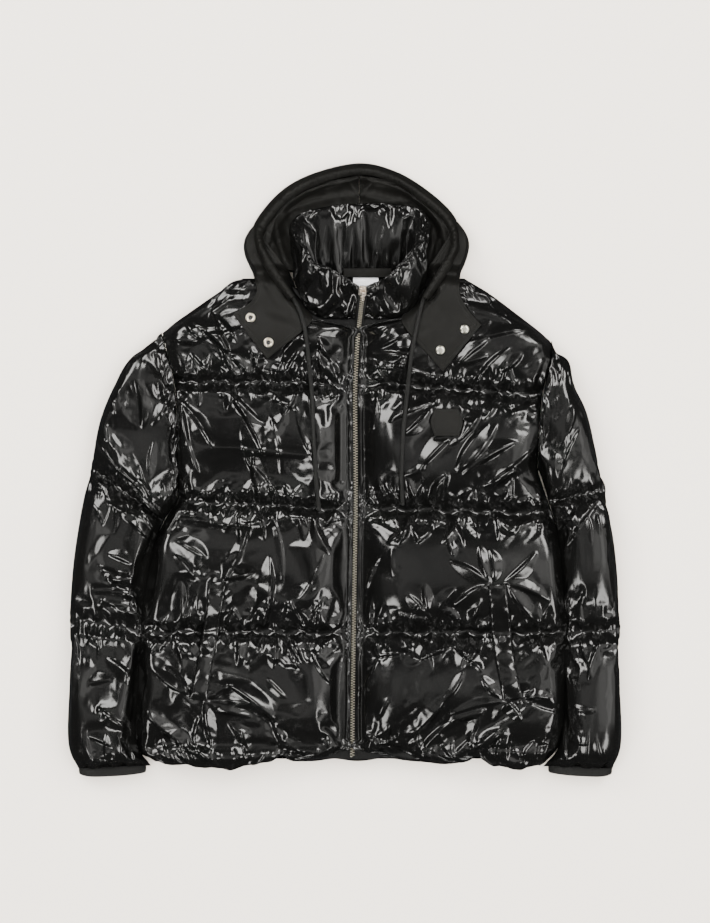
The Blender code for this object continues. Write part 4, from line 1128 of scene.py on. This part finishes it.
for path in cord_paths.values():
    for side in fronts:
        fronts[side] = press_line(fronts[side], path, CORD_RADIUS)
        flaps[side] = press_line(flaps[side], path, CORD_RADIUS)
    patch = press_line(patch, path, CORD_RADIUS)


# %% Make the shell
def shell(name, points, faces, finish_used, nodes, fill=0.6):
    """A finished padded piece that stands for its CAD nodes."""
    obj = jacket_piece(name, points, faces, finish_used, nodes)
    print(name, len(obj.data.polygons), "faces")


for side in fronts:
    shell(f"shell_front_{side}", *close_below(fronts[side], FRONT_BOTTOM + 0.0005), GLOSS, [f"front_{side}"])
    shell(f"shell_sleeve_{side}", sleeves[side], cap_ends(*sleeves[side].shape[:2]), GLOSS,
          [f"sleeve_{side}_upper", f"sleeve_{side}_under"])
dense = finer(collar, closed=True)
shell("shell_collar", dense, cap_ends(*dense.shape[:2]), GLOSS, ["collar"])

# %% [markdown]
# ### Pocket welts
# Each slanted pocket is closed by a narrow padded welt. Its edges are sewn down all round, so
# the cloth puckers towards them.

# %% Welts
welt_grids = {}
for side, table in WELTS.items():
    flat = strip(table, 2.3 * MM, 13)
    u = np.linspace(-1.0, 1.0, flat.shape[1])[None, :]
    s = np.linspace(-1.0, 1.0, flat.shape[0])[:, None]
    base = read_map(smoothed(spread(front_map, 2), 30), flat[..., 0], flat[..., 1]) + 0.0006
    rise = 0.0042 * np.sqrt(np.clip(1 - u ** 2, 0, 1)) * np.clip(1 - s ** 8, 0, 1)
    ripple = 0.0011 * smooth_noise(flat[..., 0] * 0.5, flat[..., 1], 0.022, 51) * (1 - u ** 2)
    ripple += 0.0009 * np.sin(s * 38.0 + 2.0 * u) * np.abs(u) ** 3 * (1 - u ** 8)
    welt = np.concatenate([flat, (base + rise + ripple)[..., None]], -1)
    welt_grids[side] = finer(welt)
    foot = welt_grids[side].copy()
    foot[..., 2] = read_map(smoothed(front_map, 12), foot[..., 0], foot[..., 1]) - 0.004
    shell(f"pocket_welt_{side}", *slab_between(welt_grids[side], foot), GLOSS, [f"welt_{side}"], 0.5)

# %% [markdown]
# ### Back panel
# The back takes the weight: its underside is flat where it lies, with the quilting seams as
# shallow grooves, and it curls up along the sides and the hem.

# %% Back
BACK_SEAMS = np.array((-424, -236, -58, 124, 330)) * MM


def back_form():
    """Top and bottom grids of the back, with puckers along its seams."""
    top_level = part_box("back")[1][2]
    rows, share, seam = quilted_rows(BACK_SEAMS, 4.0 * MM)
    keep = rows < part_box("back")[1][1] - 0.0005
    rows, share = rows[keep], share[keep]
    low, high = outline("back", rows)
    cols = 121
    u = np.linspace(0.0, 1.0, cols)[None, :]
    x = low[:, None] + (high - low)[:, None] * u
    y = np.repeat(rows[:, None], cols, axis=1)
    y[0] += sum(d * MM * np.exp(-((x[0] / MM - at) / w) ** 2) for at, d, w in HEM_NOTCHES)
    scoop = 0.027 * np.exp(-((x - 0.022) / 0.098) ** 8)
    y = y - scoop * np.clip((rows[:, None] - 0.190) / 0.090, 0.0, 1.0) ** 2
    free = np.where(rows < -0.04, 1.0, 0.25)[:, None]
    side = roll(np.minimum(x - low[:, None], high[:, None] - x), SIDE_ROLL)
    hem = roll(rows - rows[0], 0.030)[:, None]
    height = puff(share)[:, None]
    groove = 0.005 * (1.0 - height ** 0.5)
    pucker = 0.0012 * smooth_noise(x, y * 0.25, 0.012, 61) * (1 - height)
    bottom = 0.026 * free * (1.0 - side) + 0.012 * (1.0 - hem) + groove + np.maximum(pucker, -groove)
    bottom += 0.6 * creases(-x, y, FOLDS) * side * hem      # grooves that rise from the floor
    bottom = np.minimum(bottom, top_level - 0.003)
    return np.stack([x, y, np.full_like(x, top_level)], -1), np.stack([x, y, bottom], -1)


shell("shell_back", *slab_between(*back_form()), GLOSS, ["back"])

# %% [markdown]
# ### Hood
# The hood is thin cloth without padding. Its lining shows between the tunnel and the collar, in
# soft folds that run along the arc, with one pinched fold at the middle seam. The outer layer
# is folded under it on the floor.

# %% Hood tables
HOOD = (
    # rim_x, rim_y, rim_z, line_x, line_y, line_z, dip_x, dip_y, dip_z, inner_x, inner_y, inner_z
    (-133, 297, 50, -118, 298, 53, -96, 294, 48, -70, 288, 42),
    (-146, 329, 36, -129, 326, 42, -104, 316, 34, -70, 304, 34),
    (-131, 359, 28, -116, 350, 35, -96, 338, 20, -70, 326, 20),
    (-94, 405, 22, -84, 390, 30, -76, 380, 14, -60, 330, 7),
    (-46, 432, 20, -41, 415, 29, -37, 401, 12, -30, 310, 6),
    (20.6, 447, 20, 20.6, 430, 28, 20.6, 413, 12, 20.6, 300, 6),
    (21.4, 447, 20, 21.4, 430, 28, 21.4, 413, 12, 21.4, 300, 6),
    (74, 435, 20, 70, 419, 29, 66, 404, 12, 70, 310, 6),
    (122, 406, 22, 113, 391, 30, 108, 381, 14, 98, 330, 7),
    (160, 368, 28, 148, 357, 35, 136, 346, 20, 112, 328, 20),
    (180, 333, 36, 164, 328, 42, 144, 318, 34, 112, 306, 34),
    (169, 297, 50, 156, 298, 53, 136, 294, 48, 108, 288, 42),
)
HOOD_MIDDLE = 6
ON_FLOOR = 1.2 * MM                # height of the cloth that is folded under the hood
LEVEL = np.array([1.0, 1.0, 0.0])  # keeps x and y, drops z
TUNNEL_ENDS = {
    # rim_x, rim_y, rim_z, line_x, line_y, line_z: the tunnel turns in and lies on the flap
    "right": ((-80, 246, 66, -72, 250.5, 66), (-95, 265, 65, -86, 271, 65),
              (-110, 286, 62, -100, 293, 62), (-122, 306, 58, -111, 312, 58),
              (-131, 326, 52, -118, 328, 53)),
    "left": ((120, 246, 66, 112, 250.5, 66), (134, 265, 65, 125, 271, 65), (148, 286, 62, 138, 293, 62),
             (160, 306, 58, 149, 312, 58), (168, 326, 52, 155, 328, 53)),
}
HOOD_CREASES = (
    # x, y, angle, length, width, height
    (-14, 413, 17, 62, 6, 4.5), (-52, 402, 28, 50, 6, 3.5), (15, 409, -43, 24, 4, 4.5),
    (31, 409, 43, 26, 4, 4.5), (33, 425, -44, 22, 4, 3.0), (66, 409, -13, 62, 6, 4.5),
    (88, 414, -28, 44, 5, 3.0), (0, 398, 4, 90, 6, 3.0), (60, 394, -6, 80, 6, 3.0),
    (-45, 390, 14, 60, 6, 3.0), (23, 417, 0, 16, 4, -4.0), (-30, 422, 20, 50, 4, -3.0),
    (55, 421, -10, 50, 4, -3.0), (-83, 372, 48, 50, 5, 3.0), (-70, 388, 38, 44, 4, -2.5),
    (120, 378, -48, 50, 5, 3.0), (106, 396, -36, 44, 4, -2.5), (-128, 336, 82, 60, 3.4, 2.4),
    (-119, 336, 82, 64, 3.0, 2.4), (-137, 334, 84, 50, 3.0, 2.2), (-109, 338, 74, 60, 3.4, 2.6),
    (-100, 320, -70, 56, 4, 3.0), (-92, 328, -74, 56, 3.4, 2.6), (162, 338, 98, 60, 3.4, 2.4),
    (153, 336, 98, 64, 3.0, 2.4), (171, 334, 96, 50, 3.0, 2.2), (143, 338, 104, 60, 3.4, 2.6),
    (134, 322, 76, 56, 4, 3.0), (126, 330, 82, 50, 3.4, 2.6), (-60, 415, 32, 60, 5, 2.0),
    (100, 405, -34, 60, 5, 2.0),
)


# %% Hood lining
def hood_half(first, last):
    """One half: from the tunnel's inner line over the folds to the neck, then back underneath."""
    rows = even_points(curve_through(HOOD[first:last], 14) * MM, 2.6 * MM)
    rim, line, dip, inner = (rows[:, k:k + 3] for k in (0, 3, 6, 9))
    floor_z = np.array([0.0, 0.0, ON_FLOOR])
    step = (line - rim) * LEVEL
    step /= np.linalg.norm(step, axis=1)[:, None]
    under = inner * LEVEL + floor_z
    outer = (rim + step * 0.013) * LEVEL + floor_z
    start = line + (dip - line) * 0.02 - np.array([0.0, 0.0, 0.004])
    strips = [start, (line * 0.65 + dip * 0.35), dip, dip * 0.6 + inner * 0.4, inner,
              (inner + under) / 2.0, under, (under + outer) / 2.0, outer]
    per_span = 12
    grid = np.swapaxes(curve_through(strips, per_span), 0, 1)
    v = np.arange(grid.shape[1])[None, :] / per_span
    shown = smoothstep(v / 0.5) * smoothstep((4.6 - v) / 0.8)
    x, y = grid[..., 0], grid[..., 1]
    lift = creases(x, y, HOOD_CREASES, 0.35, 0.9) + 0.5 * bell(x, y, HOOD_CREASES)
    lift += 0.0013 * smooth_noise(x, y, 0.030, 71) + 0.0007 * smooth_noise(x, y * 0.6, 0.013, 72)
    grid[..., 2] = np.maximum(grid[..., 2] + lift * shown, ON_FLOOR)
    return grid


def tunnel_form():
    """Cross-sections of the tunnel: foot, heel, side, crest and lip, carried round the face edge."""
    arc = [row[:6] for row in HOOD[2:HOOD_MIDDLE] + HOOD[HOOD_MIDDLE + 1:-2]]
    table = (*TUNNEL_ENDS["right"], *arc, *TUNNEL_ENDS["left"][::-1])
    rows = even_points(curve_through(table, 14) * MM, 1.8 * MM)
    rim, line = rows[:, :3], rows[:, 3:6]
    step = (line - rim) * LEVEL
    step /= np.linalg.norm(step, axis=1)[:, None]
    reach_end = np.minimum(np.arange(len(rows)), np.arange(len(rows))[::-1]) * 1.8 * MM
    low = np.where(reach_end < 0.11, 1.0, 0.0)
    low = np.convolve(np.pad(low, 12, "edge"), np.ones(25) / 25.0, "valid")[:, None]
    ground = rim * LEVEL + np.array([0.0, 0.0, ON_FLOOR])
    ground = ground * (1 - low) + (rim - np.array([0.0, 0.0, 0.006])) * low
    foot = ground + step * 0.010
    heel = ground + step * 0.002 + np.array([0.0, 0.0, 0.0015])
    side = rim * LEVEL + ground * [0, 0, 1] * 0.45 + rim * [0, 0, 1] * 0.55
    crest = (rim + line) / 2.0
    crest[:, 2] = np.maximum(rim[:, 2], line[:, 2]) + 0.003
    lip = line - (line - rim) * 0.04
    tuck = lip - np.array([0.0, 0.0, 0.006])
    per_span = 6
    grid = np.swapaxes(curve_through([foot, heel, side, crest, lip, tuck], per_span), 0, 1)
    v = np.arange(grid.shape[1])[None, :] / per_span
    top = np.exp(-((v - 3.0) / 1.0) ** 2)
    s = np.arange(len(rows))[:, None] * 1.8 * MM
    pucker = 0.0008 * smooth_noise(s + 0 * v, v * 0.004, 0.011, 81)
    grid[..., 2] += (bell(grid[..., 0], grid[..., 1], HOOD_CREASES) * 0.5 + pucker) * top
    return grid


def cloth_piece(name, grid, finish_used, nodes, thickness=0.9 * MM):
    """A sheet of cloth: a grid given a little thickness below it, standing for its CAD nodes."""
    bottom = grid - grid_normals(grid) * thickness
    obj = jacket_piece(name, *slab_between(grid, bottom), finish_used, nodes)
    print(name, "shown area", round(grid_area(grid), 4))


for side, first, last in (("right", 0, HOOD_MIDDLE), ("left", HOOD_MIDDLE, len(HOOD))):
    grid = hood_half(first, last)
    cloth_piece(f"hood_half_{side}", grid, MATTE, [f"hood_{side}"])
    cloth_piece(f"flap_{side}", flaps[side], MATTE, [f"hood_flap_{side}"],
                thickness=CLOTH)
tunnel = tunnel_form()
cloth_piece("drawcord_tunnel", tunnel, MATTE, ["hood_tunnel"])
cloth_piece("plain_patch", patch, MATTE, ["chest_patch"], thickness=1.2 * MM)

# %% Neck facing and label
for name, node, finish_used, flat in (("back_neck_facing", "neck_facing", MATTE, (0.070, 0.016)),
                                      ("plain_label", "neck_label", LABEL, (0.038, 0.010))):
    low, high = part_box(node)
    first, last = (0.2800, high[1]) if node == "neck_facing" else (low[1] - 0.0025, 0.2798)
    tucked = 0.011 if node == "neck_facing" else 0.0
    gx, gy = np.meshgrid(np.linspace(low[0] - tucked, high[0] + tucked, 40), np.linspace(first, last, 16),
                         indexing="ij")
    u = (gx - low[0]) / (high[0] - low[0])
    z = high[2] - 0.0004 + 0.0006 * np.sin(math.pi * u) + 0.0002 * smooth_noise(gx, gy, 0.02, 91)
    cloth_piece(name, np.stack([gx, gy, z], -1), finish_used, [node],
                thickness=0.8 * MM)


# %% [markdown]
# ### Cords, cuffs and snaps
# The cord is a braid: two families of strands wind round it in opposite directions. The cuffs
# are folded binding. The snaps are turned rings and caps, pressed from sheet metal.

# %% Tubes
def frames_along(path):
    """Unit tangent, sideways and upward directions along a path."""
    tangent = np.gradient(path, axis=0)
    tangent /= np.linalg.norm(tangent, axis=1)[:, None]
    across = np.cross(tangent, (0.0, 0.0, 1.0))
    across /= np.linalg.norm(across, axis=1)[:, None]
    return tangent, across, np.cross(across, tangent)


def braided_tube(path, radius, around=28):
    """A tube whose radius rises over two crossing families of strands; its ends are sealed."""
    path = even_points(path, 0.8 * MM)
    tangent, across, up = frames_along(path)
    angle = np.linspace(0.0, 2 * math.pi, around, endpoint=False)[None, :]
    s = np.arange(len(path))[:, None] * 0.8 * MM
    turn = 2 * math.pi * s / (4.6 * MM)
    strands = np.maximum(np.sin(4 * angle + turn), np.sin(4 * angle - turn))
    taper = np.minimum(1.0, 0.80 + (s[::-1] / (3 * MM)) * 0.2)
    r = radius * (0.955 + 0.04 * strands) * taper
    ring = (path[:, None] + across[:, None] * (r * np.cos(angle))[..., None]
            + up[:, None] * (r * np.sin(angle))[..., None])
    return ring, path


for side, path in cord_paths.items():
    ring, fine_path = braided_tube(path, CORD_RADIUS)
    obj = jacket_piece(f"hood_cord_{side}", ring, cap_ends(*ring.shape[:2]), BINDING, [f"drawcord_{side}"])
    length = float(np.linalg.norm(np.diff(fine_path, axis=0), axis=1).sum())
    print("cord", side, "made", round(length, 4))


# %% Cuffs
CUFFS = {
    # outer_x, outer_y, inner_x, inner_y
    "right": (-387, -435.5, -290, -432), "left": (389, -435.5, 297, -432),
}
for side, (ox, oy, ix, iy) in CUFFS.items():
    start, end = np.array([ox, oy]) * MM, np.array([ix, iy]) * MM
    width = np.linalg.norm(end - start)
    across = (end - start) / width
    angle = np.linspace(0.0, 2 * math.pi, 160, endpoint=False)
    rings = []
    for inset, lower in ((0.0, -2.0), (-0.6, 2.0), (0.0, 5.0), (-0.5, 8.0), (0.2, 11.0), (1.4, 12.0),
                         (2.4, 11.0), (2.6, 4.0), (2.6, -2.0)):
        ribs = 0.25 * MM * np.sin(angle * 50)
        half, tall = width / 2 - inset * MM, (13.0 - inset) * MM
        c = np.sign(np.cos(angle)) * np.abs(np.cos(angle)) ** 0.6
        s = np.sign(np.sin(angle)) * np.abs(np.sin(angle)) ** 0.8
        drop = lower * MM - 4.0 * MM * np.abs(c) ** 3 * (lower > 4.0) + 0.6 * MM * np.sin(angle * 3 + 1)
        flat = start + np.outer(width / 2 + (half + ribs) * c, across)
        rings.append(np.column_stack([flat[:, 0], flat[:, 1] - drop, 0.020 + (tall + ribs) * s]))
    rings = np.array(rings)
    rings = np.concatenate([rings, rings[:1]])
    rows, cols = rings.shape[:2]
    faces = grid_faces(rows, cols, closed=True)
    obj = jacket_piece(f"cuff_band_{side}", rings, faces, BINDING, [f"cuff_{side}"])


# %% Snaps
def turned(name, profile, at, finish_used, nodes=(), steps=64):
    """A (radius, height) profile in millimetres spun round a vertical axis."""
    p = np.array(profile) * MM
    angle = np.linspace(0.0, 2 * math.pi, steps, endpoint=False)
    ring = np.stack([p[:, :1] * np.cos(angle) + at[0], p[:, :1] * np.sin(angle) + at[1],
                     np.repeat(p[:, 1:], steps, 1) + at[2]], -1)
    jacket_piece(name, ring, grid_faces(*ring.shape[:2], closed=True), finish_used, nodes)


RING = ((3.0, -0.6), (3.0, 1.0), (3.3, 1.5), (4.1, 2.1), (5.1, 2.4), (6.1, 2.2), (6.9, 1.5),
        (7.3, 0.6), (7.4, -0.6), (3.0, -0.6))
SOCKET = ((0.001, 0.5), (1.2, 0.5), (1.6, 0.9), (2.4, 0.9), (3.1, 0.4), (3.1, -0.6), (0.001, -0.6))
CAP = ((0.001, 2.5), (2.6, 2.5), (4.4, 2.3), (5.4, 1.8), (6.0, 1.3), (6.6, 0.9), (6.7, 0.2),
       (6.5, -0.6), (0.001, -0.6))
STUD = ((0.001, 2.1), (3.2, 2.05), (4.6, 1.8), (5.6, 1.3), (6.2, 0.7), (6.4, -0.6), (0.001, -0.6))
flap_tops = height_map([finer(flap) for flap in flaps.values()])
welt_tops = height_map([finer(welt) for welt in welt_grids.values()])
for node, profile, finish_used, tops in (
        ("snap_ring_upper", RING, GOLD, flap_tops), ("snap_ring_lower", RING, GOLD, flap_tops),
        ("snap_cap_upper", CAP, NICKEL, flap_tops), ("snap_cap_lower", CAP, NICKEL, flap_tops),
        ("welt_snap_right", STUD, ENAMEL, welt_tops), ("welt_snap_left", STUD, ENAMEL, welt_tops)):
    low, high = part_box(node)
    x, y = (low[0] + high[0]) / 2, (low[1] + high[1]) / 2
    x -= 0.008 if node == "welt_snap_right" else 0.0
    z = float(read_map(smoothed(tops, 2), np.array([x]), np.array([y]))[0])
    turned(f"{node}_metal", profile, (x, y, z + 0.0002), finish_used, [node])
    if profile is RING:
        turned(f"{node}_socket", SOCKET, (x, y, z + 0.0002), ENAMEL)

# %% [markdown]
# ### Zip
# The chain is two rows of stamped teeth crimped on a black tape, half a pitch apart, so that
# they interlock. The teeth are one small block repeated along the path.

# %% Zip
ZIP_LINE = (
    # x, y, z of the chain's outer face
    (11, -416, 37.4), (11.6, -330, 37.4), (13, -239, 37.4), (14.3, -150, 37.4), (16, -54, 37.4),
    (15.6, 30, 37.4), (15, 109, 37.4), (16.9, 160, 37.4), (18.8, 190, 37.8), (20.4, 206, 37.8),
    (21.6, 217, 47.5), (22.4, 224, 57), (24.2, 238, 69.5), (25.6, 250, 78),
)
TOOTH_PITCH = 3.8 * MM


def block(size, bevel):
    """Points and faces of a box with its upper edges bevelled, centred at its top."""
    x, y, z = np.array(size) / 2.0
    loops = ((x, y, -2 * z), (x, y, -bevel), (x - bevel, y - bevel, 0.0))
    points = [(sx * dx, sy * dy, h) for dx, dy, h in loops for sx, sy in ((-1, -1), (1, -1), (1, 1), (-1, 1))]
    faces = [(3, 2, 1, 0), (8, 9, 10, 11)]
    for base in (0, 4):
        faces += [(base + k, base + (k + 1) % 4, base + 4 + (k + 1) % 4, base + 4 + k) for k in range(4)]
    return np.array(points), np.array(faces)


def repeated(points, faces, places, axes):
    """Copies of a small mesh at places, each turned to its own three axes."""
    p = places[:, None] + np.einsum("pk,nkc->npc", points, axes)
    f = faces[None] + (np.arange(len(places)) * len(points))[:, None, None]
    return p.reshape(-1, 3), f.reshape(-1, 4).tolist()


chain = even_points(curve_through(ZIP_LINE, 10) * MM, TOOTH_PITCH / 2.0)
tangent, across, up = frames_along(chain)
for side, hand, first in (("right", -1, 0), ("left", 1, 1)):
    pick = slice(first, None, 2)
    axes = np.stack([across[pick], tangent[pick], up[pick]], 1)
    points, faces = block((3.3 * MM, 1.5 * MM, 2.4 * MM), 0.40 * MM)
    points[:, 0] += hand * 1.45 * MM
    jacket_piece(f"zip_teeth_{side}", *repeated(points, faces, chain[pick], axes), BRASS,
                 [f"zip_{side}"], smooth=False)
    edge = np.array([0.1, 2.4, 3.3, 6.0]) * MM * hand
    drop = np.array([-1.2, -1.2, -1.4, -2.0]) * MM
    tape = chain[:, None] + across[:, None] * edge[None, :, None] + up[:, None] * drop[None, :, None]
    under = tape - up[:, None] * 0.8 * MM
    jacket_piece(f"zip_tape_{side}", *slab_between(tape, under), BINDING)
print("teeth", len(chain))

# %% Slider and pull
for node in ("zip_slider", "zip_pull"):
    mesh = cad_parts[node].data
    mesh.materials.clear()
    mesh.materials.append(SLIDER)


# %% [markdown]
# ### Stitches
# Each stitch is a short rounded bar of thread. They run along the flap edges, the pocket welts,
# the tunnel, the placket and the patch.

# %% Stitches
def stitch_run(path, normals, length=2.6 * MM, gap=1.1 * MM, radius=0.24 * MM):
    """Points and faces of a row of stitches along a path that lies on a surface."""
    gaps = np.linalg.norm(np.diff(path, axis=0), axis=1)
    at = np.concatenate([[0.0], np.cumsum(gaps)])
    middle = np.arange(length, at[-1] - length / 2, length + gap)
    place = np.stack([np.interp(middle, at, path[:, k]) for k in range(3)], -1)
    ahead = np.stack([np.interp(middle + length / 2, at, path[:, k]) for k in range(3)], -1)
    up_ = np.stack([np.interp(middle, at, normals[:, k]) for k in range(3)], -1)
    up_ /= np.linalg.norm(up_, axis=1)[:, None]
    along = ahead - place
    along /= np.maximum(np.linalg.norm(along, axis=1), 1e-9)[:, None]
    side_ = np.cross(along, up_)
    half = length / 2
    ring = [(0.0, 1.0), (0.87, 0.3), (0.6, -0.6), (-0.6, -0.6), (-0.87, 0.3)]
    points = [(a * radius * w, s, b * radius * w) for s, w in ((-half, 0.5), (-half * 0.7, 1.0),
              (half * 0.7, 1.0), (half, 0.5)) for a, b in ring]
    faces = [(r * 5 + k, r * 5 + (k + 1) % 5, r * 5 + 5 + (k + 1) % 5, r * 5 + 5 + k)
             for r in range(3) for k in range(5)]
    axes = np.stack([side_, along, up_], 1)
    return repeated(np.array(points), np.array(faces), place, axes)


def add_stitches(name, runs, finish_used):
    """One mesh of several rows of stitches."""
    points, faces, start = [], [], 0
    for path, normals in runs:
        p, f = stitch_run(path, normals)
        points.append(p)
        faces += (np.array(f) + start).tolist()
        start += len(p)
    jacket_piece(name, np.concatenate(points), faces, finish_used)
    print(name, len(faces), "faces")


def inset_loop(grid, inset):
    """A closed path on a grid, an inset from its border, with its normals."""
    rows, cols = grid.shape[:2]
    i = max(1, int(round(inset / np.linalg.norm(grid[1, 0] - grid[0, 0]))))
    j = max(1, int(round(inset / np.linalg.norm(grid[rows // 2, 1] - grid[rows // 2, 0]))))
    n = grid_normals(grid)
    return [np.concatenate([g[i, j:-j], g[i:-i, -j - 1], g[-i - 1, -j - 1:j - 1:-1], g[-i - 1:i - 1:-1, j]])
            for g in (grid, n)]


add_stitches("flap_topstitch", [inset_loop(finer(flaps[s]), 0.005) for s in flaps], BINDING)
add_stitches("welt_stitch", [(w[:, c], grid_normals(w)[:, c]) for w in welt_grids.values() for c in (3, -4)],
             BINDING)
add_stitches("patch_stitch", [inset_loop(finer(patch), 0.003)], BINDING)
tunnel_n = grid_normals(tunnel)
add_stitches("tunnel_stitch", [(tunnel[:, -8], tunnel_n[:, -8])], BINDING)
fronts_runs = []
for side in fronts:
    n = grid_normals(fronts[side])
    n = n if n[..., 2].mean() > 0 else -n
    fronts_runs.append((fronts[side][:, 14], n[:, 14]))
add_stitches("placket_stitch", fronts_runs, BINDING)
